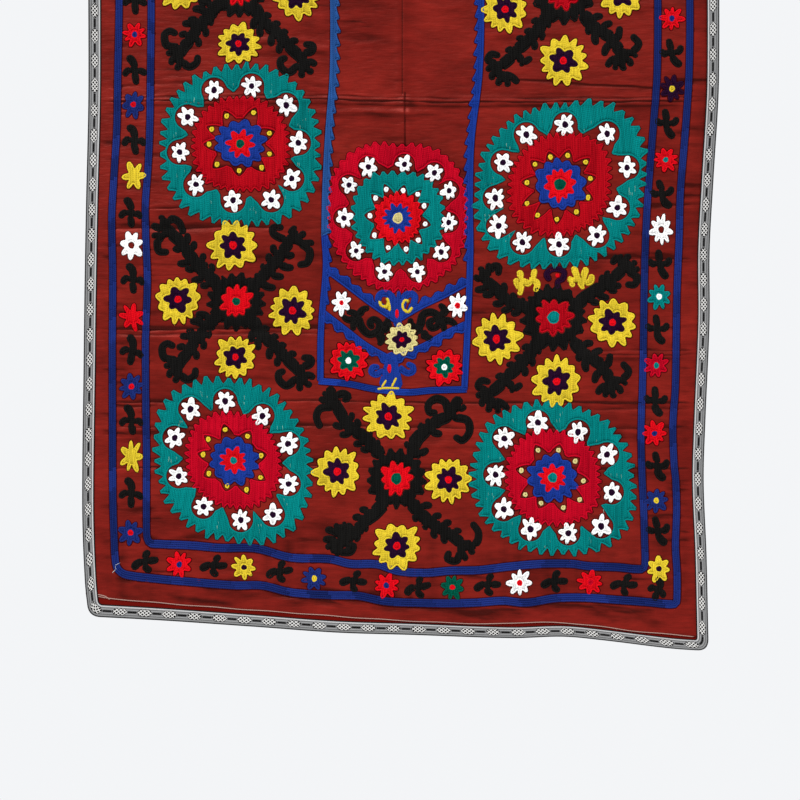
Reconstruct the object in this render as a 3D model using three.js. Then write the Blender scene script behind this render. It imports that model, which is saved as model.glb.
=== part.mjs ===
// An embroidered wall hanging: a satin cloth, a darker strip behind its lower edge, and one woven band
// sewn round its front. Millimetres, +Z up. The front faces -Y, and the origin is the middle of the top
// edge. A place on the cloth is given by x and by its drop, the distance below the top edge. Forward is
// how far it stands in front of the flat, towards -Y.
import * as THREE from "three";

// Layers
const CLOTH_THICK = 1.2;
const STRIP_THICK = 1.0;
const BAND_THICK = 1.6;
const LAYER_GAP = 0.3;

// The outer edge of the band, which is the outline of the whole hanging
const LEFT_EDGE = [
  { drop: 0, x: -722 },
  { drop: 900, x: -718 },
  { drop: 1210, x: -723 },
  { drop: 1530, x: -728 },
  { drop: 1880, x: -731 },
  { drop: 2056, x: -725 },
  { drop: 2143, x: -717 },
];
const RIGHT_EDGE = [
  { drop: 0, x: 732 },
  { drop: 900, x: 731 },
  { drop: 1130, x: 720 },
  { drop: 1300, x: 712 },
  { drop: 1460, x: 712 },
  { drop: 1690, x: 702 },
  { drop: 1830, x: 698 },
  { drop: 2005, x: 705 },
  { drop: 2222, x: 709 },
];
const BOTTOM_EDGE = [
  { x: -720, drop: 2143 },
  { x: -540, drop: 2153 },
  { x: -350, drop: 2167 },
  { x: -160, drop: 2180 },
  { x: 25, drop: 2185 },
  { x: 255, drop: 2194 },
  { x: 375, drop: 2191 },
  { x: 465, drop: 2199 },
  { x: 625, drop: 2218 },
  { x: 710, drop: 2223 },
];

// The lower edge of the satin cloth
const SELVEDGE = [
  { x: -722, drop: 2092 },
  { x: -667, drop: 2102 },
  { x: -253, drop: 2136 },
  { x: 184, drop: 2161 },
  { x: 324, drop: 2158 },
  { x: 430, drop: 2164 },
  { x: 536, drop: 2178 },
  { x: 710, drop: 2193 },
];

// The band: its width at the start and end of each side, and the rounding of its two corners' edges
const BAND_WIDTH = {
  left: { start: 31, end: 27 },
  bottom: { start: 30, end: 25 },
  right: { start: 27, end: 30 },
  top: { start: 30, end: 30 },
};
const BAND_OUTER_CORNER = 27;
const BAND_INNER_CORNER = 8;
const BAND_STEPS = { side: 66, off_cloth: 2, bottom: 46, top: 46, corner: 5 };
const BAND_SETTLES = { from: 2, over: 14 }; // below the selvedge the band settles back on the strip
const EDGE_INSET = 3; // the cloth ends this far inside the band's outer edge
const STRIP_INSET = { left: 8, right: 5, bottom: 3 };

// Soft waves of the whole sheet: wavelengths across and down, height, and start as part of a turn
const WAVES = [
  { across: 980, down: 1900, height: 5.0, turn: 0.1 },
  { across: -700, down: 1150, height: 3.0, turn: 0.45 },
  { across: 2600, down: 760, height: 3.5, turn: 0.8 },
];
const HEM_WAVE = { across: 470, height: 2.5, turn: 0.3, reach: 420 };
const FLAT_TOP = 130; // the sheet is flat from its top edge down to here
const WAVES_FULL = 600; // and has its full waves from here down

// Fold lines left by storage: a ridge stands forward and a trough, below zero, goes back
const CREASES = [
  { drop: 425, from: -690, to: 672, height: 3.5, half: 17 },
  { drop: 957, from: -690, to: 672, height: 4.0, half: 16 },
  { drop: 1252, from: -690, to: -255, height: -2.5, half: 15 },
  { drop: 1318, from: 330, to: 665, height: -2.0, half: 15 },
  { drop: 1488, from: -690, to: -150, height: -4.0, half: 16 },
  { drop: 1540, from: 380, to: 665, height: 3.5, half: 16 },
  { drop: 1660, from: 380, to: 665, height: -3.0, half: 15 },
  { drop: 1714, from: -690, to: -330, height: 2.5, half: 15 },
];
const CREASE_END = 70; // a crease fades over this length at each end
const CENTRE_CREASE = { x: 7, from: 150, to: 1080, height: 3.0, half: 14 };
const WAVER = [
  { height: 3.0, length: 1320, turn: 0 },
  { height: 1.5, length: 565, turn: 0.16 },
];

// Grid of the cloth
const TOP_ROWS = [0, 4, 10]; // the rounding of the top corners, below the cloth's own edge
const ROW_STEP = 48;
const LEVEL_ROWS_END = 2040; // rows below here close in on the selvedge
const HEM_ROWS = 3;
const COLUMNS = { from: -690, to: 672, step: 45 };
const CLEAR_OF_CREASE = 14; // even rows and columns nearer than this to a crease's own are left out
const STRIP_OVERLAP = 16; // the strip starts this far above the selvedge
const STRIP_ENDS = [0, 3, 10, BAND_OUTER_CORNER]; // its columns at each rounded end
const STRIP_ROWS = 3;

const clamp = (value) => Math.min(1, Math.max(0, value));
const ease = (value) => clamp(value) ** 2 * (3 - 2 * clamp(value));
const mix = (a, b, t) => a + (b - a) * t;
const sum = (values) => values.reduce((total, value) => total + value, 0);
const wave = (turns) => Math.sin(2 * Math.PI * turns);
const shares = (count) => Array.from({ length: count + 1 }, (_, i) => i / count);

// One column of a table at a place along another column, on a smooth curve through its rows
function along(table, key, column, place) {
  const last = table.length - 1;
  const at = Math.min(Math.max(place, table[0][key]), table[last][key]);
  const i = Math.min(
    table.findLastIndex((row) => row[key] <= at),
    last - 1,
  );
  const slope = (k) => {
    const before = table[Math.max(k - 1, 0)];
    const after = table[Math.min(k + 1, last)];
    return (after[column] - before[column]) / (after[key] - before[key]);
  };
  const span = table[i + 1][key] - table[i][key];
  const t = (at - table[i][key]) / span;
  const rise = mix(table[i][column], table[i + 1][column], t * t * (3 - 2 * t));
  return rise + span * t * (1 - t) * ((1 - t) * slope(i) - t * slope(i + 1));
}

const leftEdge = (drop) => along(LEFT_EDGE, "drop", "x", drop);
const rightEdge = (drop) => along(RIGHT_EDGE, "drop", "x", drop);
const bottomEdge = (x) => along(BOTTOM_EDGE, "x", "drop", x);
const selvedge = (x) => along(SELVEDGE, "x", "drop", x);

// The slight unevenness with which a crease or a row of the grid crosses the cloth
const waver = (x) => sum(WAVER.map(({ height, length, turn }) => height * wave(x / length + turn)));

// A soft ridge across a fold line, which fades towards the line's two ends
function fold(across, place, { from, to, height, half }) {
  const profile = ease(1 - Math.abs(across) / half);
  const ends = ease((place - from) / CREASE_END) * ease((to - place) / CREASE_END);
  return height * profile * ends;
}

// How far the cloth's front face stands forward of the flat
function forward(x, drop) {
  const soft = WAVES.map(({ across, down, height, turn }) => height * wave(x / across + drop / down + turn));
  const nearHem = ease(1 - (selvedge(x) - drop) / HEM_WAVE.reach);
  const ripple = nearHem * HEM_WAVE.height * wave(x / HEM_WAVE.across + HEM_WAVE.turn);
  const creases = CREASES.map((crease) => fold(drop - waver(x) - crease.drop, x, crease));
  const centre = fold(x - CENTRE_CREASE.x, drop, CENTRE_CREASE);
  const loose = ease((drop - FLAT_TOP) / (WAVES_FULL - FLAT_TOP));
  return loose * (sum(soft) + ripple) + sum(creases) + centre;
}

// A closed sheet through a grid of places. A place is { x, drop, lift }, where lift is the distance of
// its front face in front of the cloth's. A looped grid's last row joins its first.
function sheet(grid, thickness, looped = false) {
  const rows = grid.length;
  const columns = grid[0].length;
  const positions = [0, thickness].flatMap((back) =>
    grid.flat().flatMap(({ x, drop, lift }) => [x, back - forward(x, drop) - lift, -drop]),
  );
  const front = (i, j) => (i % rows) * columns + j;
  const back = (i, j) => front(i, j) + rows * columns;
  const faces = [];
  const quad = (a, b, c, d) => faces.push(a, b, c, a, c, d);
  for (let i = 0; i < (looped ? rows : rows - 1); i++) {
    for (let j = 0; j < columns - 1; j++) {
      quad(front(i, j), front(i + 1, j), front(i + 1, j + 1), front(i, j + 1));
      quad(back(i, j), back(i, j + 1), back(i + 1, j + 1), back(i + 1, j));
    }
    const end = columns - 1;
    quad(front(i, 0), back(i, 0), back(i + 1, 0), front(i + 1, 0));
    quad(front(i + 1, end), back(i + 1, end), back(i, end), front(i, end));
  }
  for (let j = 0; !looped && j < columns - 1; j++) {
    const end = rows - 1;
    quad(front(0, j), front(0, j + 1), back(0, j + 1), back(0, j));
    quad(front(end, j + 1), front(end, j), back(end, j), back(end, j + 1));
  }
  const geometry = new THREE.BufferGeometry();
  geometry.setAttribute("position", new THREE.Float32BufferAttribute(positions, 3));
  geometry.setIndex(faces);
  geometry.computeVertexNormals();
  return geometry;
}

// Evenly spaced values, with a crease's own values in place of any that come too close to them
function spaced(from, to, step, own) {
  const even = shares(Math.round((to - from) / step)).map((share) => mix(from, to, share));
  const clear = even.filter((value) => own.every((o) => Math.abs(o - value) > CLEAR_OF_CREASE));
  return [...clear, ...own].sort((a, b) => a - b);
}

const foldRows = ({ drop, half }) => [drop - half, drop, drop + half];

// How far a corner's rounding draws an edge in, at a distance from the corner
const rounding = (distance, radius) =>
  distance < radius ? radius - Math.sqrt(radius ** 2 - (radius - distance) ** 2) : 0;

// The satin cloth, from under the band at its top and sides to its own selvedge
function groundCloth() {
  const top = TOP_ROWS.map((below) => EDGE_INSET + below);
  const level = spaced(BAND_OUTER_CORNER, LEVEL_ROWS_END, ROW_STEP, CREASES.flatMap(foldRows));
  const { x, half } = CENTRE_CREASE;
  const inner = spaced(COLUMNS.from, COLUMNS.to, COLUMNS.step, [x - half, x, x + half]);
  const hem = shares(HEM_ROWS).slice(1);
  const row = (drop, toHem) => {
    const drawn = EDGE_INSET + rounding(drop - EDGE_INSET, BAND_OUTER_CORNER);
    const xs = [leftEdge(drop) + drawn, ...inner, rightEdge(drop) - drawn];
    const wavered = (at) => drop + waver(at) * ease((drop - FLAT_TOP) / FLAT_TOP);
    return xs.map((at) => ({ x: at, drop: mix(wavered(at), selvedge(at), toHem), lift: 0 }));
  };
  const grid = [
    ...[...top, ...level].map((drop) => row(drop, 0)),
    ...hem.map((share) => row(LEVEL_ROWS_END, share)),
  ];
  return sheet(grid, CLOTH_THICK);
}

// The darker strip, a layer behind the cloth, which shows below the selvedge
function backingStrip() {
  const from = leftEdge(LEVEL_ROWS_END) + STRIP_INSET.left;
  const to = rightEdge(LEVEL_ROWS_END) - STRIP_INSET.right;
  const xs = [
    ...STRIP_ENDS.map((distance) => from + distance),
    ...spaced(from + BAND_OUTER_CORNER, to - BAND_OUTER_CORNER, COLUMNS.step, []).slice(1, -1),
    ...STRIP_ENDS.map((distance) => to - distance).reverse(),
  ];
  const lift = -CLOTH_THICK - LAYER_GAP;
  const column = (x) => {
    const corner = rounding(Math.min(x - from, to - x), BAND_OUTER_CORNER);
    const low = bottomEdge(x) - STRIP_INSET.bottom - corner;
    const high = selvedge(x) - STRIP_OVERLAP;
    return shares(STRIP_ROWS).map((share) => ({ x, drop: mix(high, low, share), lift }));
  };
  const columns = xs.map(column);
  const grid = columns[0].map((_, i) => columns.map((places) => places[i]));
  return sheet(grid, STRIP_THICK);
}

// One edge of the band as a closed loop, down the left, along the bottom, up the right and back. The
// inset is 0 on the outer edge and 1 on the inner one, as a share of the band's width.
function bandEdge(inset, radius) {
  const width = (side, share) => inset * mix(BAND_WIDTH[side].start, BAND_WIDTH[side].end, share);
  const place = (x, drop) => new THREE.Vector2(x, drop);
  const [first, last] = [BOTTOM_EDGE[0], BOTTOM_EDGE.at(-1)];
  const left = (drop) => place(leftEdge(drop) + width("left", drop / first.drop), drop);
  const right = (drop) => place(rightEdge(drop) - width("right", 1 - drop / last.drop), drop);
  const bottom = (x) => place(x, bottomEdge(x) - width("bottom", (x - first.x) / (last.x - first.x)));
  const low = { left: bottom(first.x).y, right: bottom(last.x).y };
  const high = width("top", 0);
  const [topLeft, lowLeft, lowRight, topRight] = [left(high), left(low.left), right(low.right), right(high)];

  const run = (from, to, steps, point) =>
    Array.from({ length: steps }, (_, i) => point(mix(from, to, i / steps)));
  const turn = (from, at, to) =>
    new THREE.QuadraticBezierCurve(from, at, to).getPoints(BAND_STEPS.corner).slice(0, -1);
  const level = (x) => place(x, high);
  const clothEnd = { left: selvedge(lowLeft.x), right: selvedge(lowRight.x) - BAND_WIDTH.right.start };
  return [
    ...run(high + radius, clothEnd.left, BAND_STEPS.side, left),
    ...run(clothEnd.left, low.left - radius, BAND_STEPS.off_cloth, left),
    ...turn(left(low.left - radius), lowLeft, bottom(lowLeft.x + radius)),
    ...run(lowLeft.x + radius, lowRight.x - radius, BAND_STEPS.bottom, bottom),
    ...turn(bottom(lowRight.x - radius), lowRight, right(low.right - radius)),
    ...run(low.right - radius, clothEnd.right, BAND_STEPS.off_cloth, right),
    ...run(clothEnd.right, high + radius, BAND_STEPS.side, right),
    ...turn(right(high + radius), topRight, level(topRight.x - radius)),
    ...run(topRight.x - radius, topLeft.x + radius, BAND_STEPS.top, level),
    ...turn(level(topLeft.x + radius), topLeft, left(high + radius)),
  ];
}

// The woven band, in front of the cloth, and in front of the strip where the cloth has ended
function edgingBand() {
  const onCloth = ({ x, y: drop }) => {
    const settled = ease((drop - selvedge(x) - BAND_SETTLES.from) / BAND_SETTLES.over);
    return { x, drop, lift: LAYER_GAP + BAND_THICK - settled * (CLOTH_THICK + LAYER_GAP) };
  };
  const outer = bandEdge(0, BAND_OUTER_CORNER);
  const inner = bandEdge(1, BAND_INNER_CORNER);
  return sheet(
    outer.map((point, i) => [onCloth(point), onCloth(inner[i])]),
    BAND_THICK,
    true,
  );
}

// Materials
const satin = new THREE.MeshStandardMaterial({ color: 0x851c16, roughness: 0.55, metalness: 0 });
const plainRed = new THREE.MeshStandardMaterial({ color: 0x6e0408, roughness: 0.85, metalness: 0 });
const woven = new THREE.MeshStandardMaterial({ color: 0x8c8a8c, roughness: 0.9, metalness: 0 });

const group = new THREE.Group();
for (const [name, geometry, material] of [
  ["ground_cloth", groundCloth(), satin],
  ["backing_strip", backingStrip(), plainRed],
  ["edging_band", edgingBand(), woven],
]) {
  const mesh = new THREE.Mesh(geometry, material);
  mesh.name = name;
  group.add(mesh);
}

export default group;
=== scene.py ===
"""An embroidered wall hanging: satin, rows of stitched thread, a strip behind the hem and a woven band."""
import math
from collections import namedtuple

import bpy
import numpy as np
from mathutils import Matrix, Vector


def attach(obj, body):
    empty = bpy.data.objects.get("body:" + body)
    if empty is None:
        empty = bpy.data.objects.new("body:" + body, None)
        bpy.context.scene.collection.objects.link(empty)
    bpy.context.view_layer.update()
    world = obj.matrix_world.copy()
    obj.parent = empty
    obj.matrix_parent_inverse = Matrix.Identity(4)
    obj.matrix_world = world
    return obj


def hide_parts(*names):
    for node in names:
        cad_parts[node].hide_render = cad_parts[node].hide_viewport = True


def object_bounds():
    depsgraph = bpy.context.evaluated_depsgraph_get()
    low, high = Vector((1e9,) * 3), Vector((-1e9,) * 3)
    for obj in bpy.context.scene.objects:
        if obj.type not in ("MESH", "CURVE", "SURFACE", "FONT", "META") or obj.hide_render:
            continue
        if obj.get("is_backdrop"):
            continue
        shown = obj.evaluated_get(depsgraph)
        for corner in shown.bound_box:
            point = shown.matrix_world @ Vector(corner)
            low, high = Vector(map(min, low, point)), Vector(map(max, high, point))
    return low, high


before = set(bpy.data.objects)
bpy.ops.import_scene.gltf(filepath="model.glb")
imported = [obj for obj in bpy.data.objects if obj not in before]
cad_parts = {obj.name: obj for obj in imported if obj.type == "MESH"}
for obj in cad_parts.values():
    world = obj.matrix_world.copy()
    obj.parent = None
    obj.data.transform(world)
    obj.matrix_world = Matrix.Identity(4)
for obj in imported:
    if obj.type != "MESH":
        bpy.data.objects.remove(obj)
cad_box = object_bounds()

rng = np.random.default_rng(7)

# The cloth's shape is worked out in millimetres: x from the middle, and the drop below the top edge.
# The embroidery is charted in points of 2.3 mm, with the middle of the top edge at CHART_ORIGIN. The places
# and sizes of the motifs are read off the photograph.
MM = 0.001
POINT = 2.3
CHART_ORIGIN = (400, -316)

# Layers
CLOTH_THICK, STRIP_THICK, BAND_THICK, LAYER_GAP = 1.2, 1.0, 1.6, 0.3

# The outline: the outer edge of the band, and the cloth's own lower edge
LEFT_EDGE = [(0, -722), (900, -718), (1210, -723), (1530, -728), (1880, -731), (2056, -725), (2143, -717)]
RIGHT_EDGE = [
    (0, 732), (900, 731), (1130, 720), (1300, 712), (1460, 712), (1690, 702), (1830, 698), (2005, 705),
    (2222, 709),
]
BOTTOM_EDGE = [
    (-720, 2143), (-540, 2153), (-350, 2167), (-160, 2180), (25, 2185), (255, 2194), (375, 2191),
    (465, 2199), (625, 2218), (710, 2223),
]
SELVEDGE = [
    (-722, 2092), (-667, 2102), (-253, 2136), (184, 2161), (324, 2158), (430, 2164), (536, 2178),
    (710, 2193),
]
BAND_WIDTH = {"left": (31, 27), "bottom": (30, 25), "right": (27, 30), "top": (30, 30)}
OUTER_CORNER, INNER_CORNER = 27, 8
BAND_SETTLES = {"from": 2, "over": 14}
EDGE_INSET = 3
STRIP_INSET = {"left": 8, "right": 5, "bottom": 3}
STRIP_OVERLAP = 16

# Soft waves, and the main folds that the solids have too. A level fold has its drop, and its begin and end
# across the cloth. The upright ones have their place across, and the drops of their begin and end.
Wave = namedtuple("Wave", "across down height turn")
WAVES = [Wave(980, 1900, 5.0, 0.1), Wave(-700, 1150, 3.0, 0.45), Wave(2600, 760, 3.5, 0.8)]
HEM_WAVE = {"across": 470, "height": 2.5, "turn": 0.3, "reach": 420}
FLAT_TOP, WAVES_FULL = 130, 600
WAVER = [(3.0, 1320, 0), (1.5, 565, 0.16)]
Fold = namedtuple("Fold", "at begin end height half slope", defaults=(0,))
CREASES = [
    Fold(425, -690, 672, 3.5, 17),
    Fold(957, -690, 672, 4.0, 16),
    Fold(1252, -690, -255, -2.5, 15),
    Fold(1318, 330, 665, -2.0, 15),
    Fold(1488, -690, -150, -4.0, 16),
    Fold(1540, 380, 665, 3.5, 16),
    Fold(1660, 380, 665, -3.0, 15),
    Fold(1714, -690, -330, 2.5, 15),
]
CREASE_END = 70
CENTRE_CREASE = Fold(7, 150, 1080, 3.0, 14)

# Sharp pressed lines on those folds, and lesser ones. The cloth has rows of its own along each level one.
LINE_HALF, SLANT_HALF = 2.6, 3.4
SHARP_LINES = [
    Fold(420, -690, 690, -2.2, LINE_HALF),
    Fold(431, -690, 690, -1.8, LINE_HALF),
    Fold(949, -690, 690, -2.3, LINE_HALF),
    Fold(959, -690, 690, -2.6, LINE_HALF),
    Fold(903, 210, 690, -2.4, SLANT_HALF, 0.068),
    Fold(912, 300, 560, -1.4, SLANT_HALF, 0.06),
    Fold(1196, 560, 690, -1.8, LINE_HALF),
    Fold(1206, -600, -480, -2.0, LINE_HALF),
    Fold(1252, -690, -255, -2.2, LINE_HALF),
    Fold(1318, 330, 690, -1.8, LINE_HALF),
    Fold(1484, -690, -150, -2.4, LINE_HALF),
    Fold(1495, -690, -150, -1.8, LINE_HALF),
    Fold(1529, 420, 690, -2.2, LINE_HALF),
    Fold(1540, 420, 690, -1.8, LINE_HALF),
    Fold(1651, -690, 690, -2.2, LINE_HALF),
    Fold(1664, 390, 690, -1.8, LINE_HALF),
    Fold(1708, -690, 690, -1.8, LINE_HALF),
    Fold(1750, 600, 690, -1.8, LINE_HALF),
    Fold(1802, -690, 690, -1.8, LINE_HALF),
]
CENTRE_LINES = [Fold(4.6, 150, 950, -2.0, LINE_HALF), Fold(10.8, 935, 1075, -2.6, LINE_HALF)]
CENTRE_LINE_END, SHARP_LINE_END, PUCKER_END = 12, 60, 25
LINE_ROWS = np.array([-2.5, -1.1, 0, 1.1, 2.5])
LINE_CLEAR = 5.6
WANDER = [(1.2, 187, 70), (0.6, 61, 31)]
WANDER_MOST = 2
LINE_MEAN, LINE_SWING = 0.68, 0.32
LINE_BREAKS = [(137, 7), (410, 13)]
RIPPLES = {"length": 51, "height": 0.9, "from": 1950, "to": 2130, "fade": 40}
RIPPLES_MEAN, RIPPLES_SWING, RIPPLES_SWING_OVER, RIPPLES_TURN = 0.6, 0.4, 310, 0.2
RIPPLES_SWAY, RIPPLES_SWAY_OVER = 0.3, 230
BAND_CLEAR = 20

# Scattered folds: how many, and the ranges of their length, height, half width and slope
Scatter = namedtuple("Scatter", "count length height half slope")
PUCKERS = Scatter(230, (35, 150), (0.5, 1.7), (4, 8), (-0.07, 0.07))
SOFT_FOLDS = Scatter(70, (120, 420), (0.8, 2.4), (11, 24), (-0.05, 0.05))
HEM_WRINKLES = Scatter(34, (60, 190), (1.4, 3), (7, 14), (-0.1, 0.2))
MARGIN_PUCKERS = Scatter(80, (30, 110), (1, 2.4), (5, 10), (-0.1, 0.1))

# Where they lie: drops, reaches to either side, and for wrinkles the rise above the selvedge
PUCKER_DROPS, FOLD_DROPS = (260, 2060), (300, 2080)
FOLD_REACH, WRINKLE_REACH, WRINKLE_RISE = 700, 690, (14, 62)
LEFT_MARGIN, RIGHT_MARGIN = (-715, -650), (695, 725)


def ease(value):
    value = np.clip(value, 0, 1)
    return value * value * (3 - 2 * value)


def wave(turns):
    return np.sin(2 * math.pi * turns)


def along(table, place):
    """The second column of a table at a place along its first, on a smooth curve through its rows."""
    keys, values = np.array(table, float).T
    before = np.maximum(np.arange(len(keys)) - 1, 0)
    after = np.minimum(np.arange(len(keys)) + 1, len(keys) - 1)
    slopes = (values[after] - values[before]) / (keys[after] - keys[before])
    at = np.clip(place, keys[0], keys[-1])
    i = np.clip(np.searchsorted(keys, at, side="right") - 1, 0, len(keys) - 2)
    span = keys[i + 1] - keys[i]
    t = (at - keys[i]) / span
    rise = values[i] + (values[i + 1] - values[i]) * t * t * (3 - 2 * t)
    return rise + span * t * (1 - t) * ((1 - t) * slopes[i] - t * slopes[i + 1])


def left_edge(drop):
    return along(LEFT_EDGE, drop)


def right_edge(drop):
    return along(RIGHT_EDGE, drop)


def bottom_edge(x):
    return along(BOTTOM_EDGE, x)


def selvedge(x):
    return along(SELVEDGE, x)


def waver(x):
    return sum(height * wave(x / length + turn) for height, length, turn in WAVER)


def wander(x, at):
    """The small unevenness of one pressed line, in millimetres."""
    return sum(height * wave(x / length + at / turn) for height, length, turn in WANDER)


def come_and_go(x, at):
    """The share of a pressed line's height that stands at x."""
    (first, first_turn), (second, second_turn) = LINE_BREAKS
    return LINE_MEAN + LINE_SWING * wave(x / first + at / first_turn) * wave(x / second + at / second_turn)


def fold(across, place, crease, end=CREASE_END):
    """A soft ridge across a fold line, which fades towards the line's two ends."""
    ends = ease((place - crease.begin) / end) * ease((crease.end - place) / end)
    return crease.height * ease(1 - np.abs(across) / crease.half) * ends


def scattered_folds():
    """Small puckers of the satin, mostly level, and slanting wrinkles in the lower margin."""
    folds = []

    def add(kind, at, begin, length, way=-1):
        height = way * rng.uniform(*kind.height)
        half = rng.uniform(*kind.half)
        folds.append(Fold(at, begin, begin + length, height, half, rng.uniform(*kind.slope)))

    for _ in range(PUCKERS.count):
        length = rng.uniform(*PUCKERS.length)
        at = rng.uniform(*PUCKER_DROPS)
        begin = rng.uniform(-FOLD_REACH, FOLD_REACH - length)
        slope = rng.uniform(*PUCKERS.slope)
        height = -rng.uniform(*PUCKERS.height)
        folds.append(Fold(at, begin, begin + length, height, rng.uniform(*PUCKERS.half), slope))
    for _ in range(SOFT_FOLDS.count):
        length = rng.uniform(*SOFT_FOLDS.length)
        at = rng.uniform(*FOLD_DROPS)
        begin = rng.uniform(-FOLD_REACH, FOLD_REACH - length)
        add(SOFT_FOLDS, at, begin, length, rng.choice([-1, 1]))
    for _ in range(HEM_WRINKLES.count):
        length = rng.uniform(*HEM_WRINKLES.length)
        begin = rng.uniform(-WRINKLE_REACH, WRINKLE_REACH - length)
        add(HEM_WRINKLES, selvedge(begin) - rng.uniform(*WRINKLE_RISE), begin, length)
    for _ in range(MARGIN_PUCKERS.count):
        length = rng.uniform(*MARGIN_PUCKERS.length)
        begin = rng.choice([rng.uniform(*LEFT_MARGIN), rng.uniform(*RIGHT_MARGIN) - length])
        add(MARGIN_PUCKERS, rng.uniform(*FOLD_DROPS), begin, length)
    return folds


SCATTERED = scattered_folds()


def forward(x, drop, depth=1.0):
    """How far the cloth's front face stands forward of the flat, in millimetres.

    Thread bridges the narrow grooves, so it follows them to a share of their depth.
    """
    soft = sum(w.height * wave(x / w.across + drop / w.down + w.turn) for w in WAVES)
    near_hem = ease(1 - (selvedge(x) - drop) / HEM_WAVE["reach"])
    soft = soft + near_hem * HEM_WAVE["height"] * wave(x / HEM_WAVE["across"] + HEM_WAVE["turn"])
    level = drop - waver(x)
    sharp = sum(fold(level - c.at, x, c) for c in CREASES) + fold(x - CENTRE_CREASE.at, drop, CENTRE_CREASE)
    fine = pressed(x, drop, level)
    fine = np.where(fine < 0, depth * fine, fine)
    return soft * ease((drop - FLAT_TOP) / (WAVES_FULL - FLAT_TOP)) + sharp + fine


def pressed(x, drop, level):
    """The sharp lines, puckers and ripples that only the fine cloth has."""
    height = np.zeros(np.broadcast(x, drop).shape)
    for line in CENTRE_LINES:
        height += fold(x - line.at, drop, line, CENTRE_LINE_END)
    lines = [(s, SHARP_LINE_END) for s in SHARP_LINES] + [(s, PUCKER_END) for s in SCATTERED]
    for line, end in lines:
        near = np.abs(level - line.at - line.slope * (x - line.begin)) < line.half + WANDER_MOST
        near &= (x > line.begin) & (x < line.end)
        if near.any():
            offset = level[near] - line.at - line.slope * (x[near] - line.begin) - wander(x[near], line.at)
            height[near] += come_and_go(x[near], line.at) * fold(offset, x[near], line, end)
    fade = RIPPLES["fade"]
    hem = ease((drop - RIPPLES["from"]) / fade) * ease((RIPPLES["to"] - drop) / fade)
    uneven = RIPPLES_MEAN + RIPPLES_SWING * wave(x / RIPPLES_SWING_OVER + RIPPLES_TURN)
    sway = RIPPLES_SWAY * wave(x / RIPPLES_SWAY_OVER)
    height += hem * uneven * RIPPLES["height"] * wave(x / RIPPLES["length"] + sway)
    from_left = x - left_edge(drop) - BAND_WIDTH["left"][0]
    from_right = right_edge(drop) - BAND_WIDTH["right"][1] - x
    return height * ease(from_left / BAND_CLEAR) * ease(from_right / BAND_CLEAR)


def places(x, drop, lift, depth=1.0):
    """Points in metres: lift is in front of the cloth's front face, in millimetres."""
    return np.stack([x, -forward(x, drop, depth) - lift, -drop], axis=-1) * MM


def new_mesh(name, points, faces, attributes, slots, slot_of=None):
    """A smooth-shaded mesh object from arrays, with its materials."""
    mesh = bpy.data.meshes.new(name)
    mesh.from_pydata(points.tolist(), [], faces)
    mesh.polygons.foreach_set("use_smooth", np.ones(len(faces), bool))
    for key, values in attributes:
        layer = mesh.attributes.new(key, "FLOAT", "POINT")
        layer.data.foreach_set("value", np.asarray(values, np.float32))
    for material in slots:
        mesh.materials.append(material)
    if slot_of is not None:
        mesh.polygons.foreach_set("material_index", np.asarray(slot_of, np.int32))
    piece = bpy.data.objects.new(name, mesh)
    bpy.context.scene.collection.objects.link(piece)
    return piece


def sheet(name, x, drop, lift, thickness, material, looped=False, attributes=()):
    """A closed sheet through a grid of places. A looped grid's last row joins its first."""
    rows, columns = x.shape
    front = places(x, drop, lift)
    back = front + np.array([0, thickness * MM, 0])
    points = np.concatenate([front.reshape(-1, 3), back.reshape(-1, 3)])
    i = np.arange(rows if looped else rows - 1)[:, None]
    j = np.arange(columns - 1)[None, :]
    end = columns - 1

    def near(row, column):
        return (row % rows) * columns + column

    def far(row, column):
        return near(row, column) + rows * columns

    def quads(*corners):
        return np.stack([c.ravel() for c in np.broadcast_arrays(*corners)], axis=1)

    faces = [
        quads(near(i, j), near(i + 1, j), near(i + 1, j + 1), near(i, j + 1)),
        quads(far(i, j), far(i, j + 1), far(i + 1, j + 1), far(i + 1, j)),
        quads(near(i, 0), far(i, 0), far(i + 1, 0), near(i + 1, 0)),
        quads(near(i + 1, end), far(i + 1, end), far(i, end), near(i, end)),
    ]
    if not looped:
        top, low = np.array([[0]]), np.array([[rows - 1]])
        faces.append(quads(near(top, j), near(top, j + 1), far(top, j + 1), far(top, j)))
        faces.append(quads(near(low, j + 1), near(low, j), far(low, j), far(low, j + 1)))
    return new_mesh(name, points, np.concatenate(faces).tolist(), attributes, [material])


# Camera, straight on, as the photograph: 800 points of the chart across at the cloth
CAMERA = {"lens": 85.0, "sensor": 36.0, "frame": 800, "middle": (399.6, 399.4)}


def chart_x(x):
    return (x - CHART_ORIGIN[0]) * POINT


def chart_drop(y):
    return (y - CHART_ORIGIN[1]) * POINT


def add_camera():
    data = bpy.data.cameras.new("camera")
    data.lens = CAMERA["lens"]
    data.sensor_width = CAMERA["sensor"]
    data.clip_end = 50
    camera = bpy.data.objects.new("camera", data)
    away = CAMERA["frame"] * POINT * MM * CAMERA["lens"] / CAMERA["sensor"]
    x, y = CAMERA["middle"]
    camera.location = (chart_x(x) * MM, -away, -chart_drop(y) * MM)
    camera.rotation_euler = (math.pi / 2, 0, 0)
    bpy.context.scene.collection.objects.link(camera)
    bpy.context.scene.camera = camera


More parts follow.
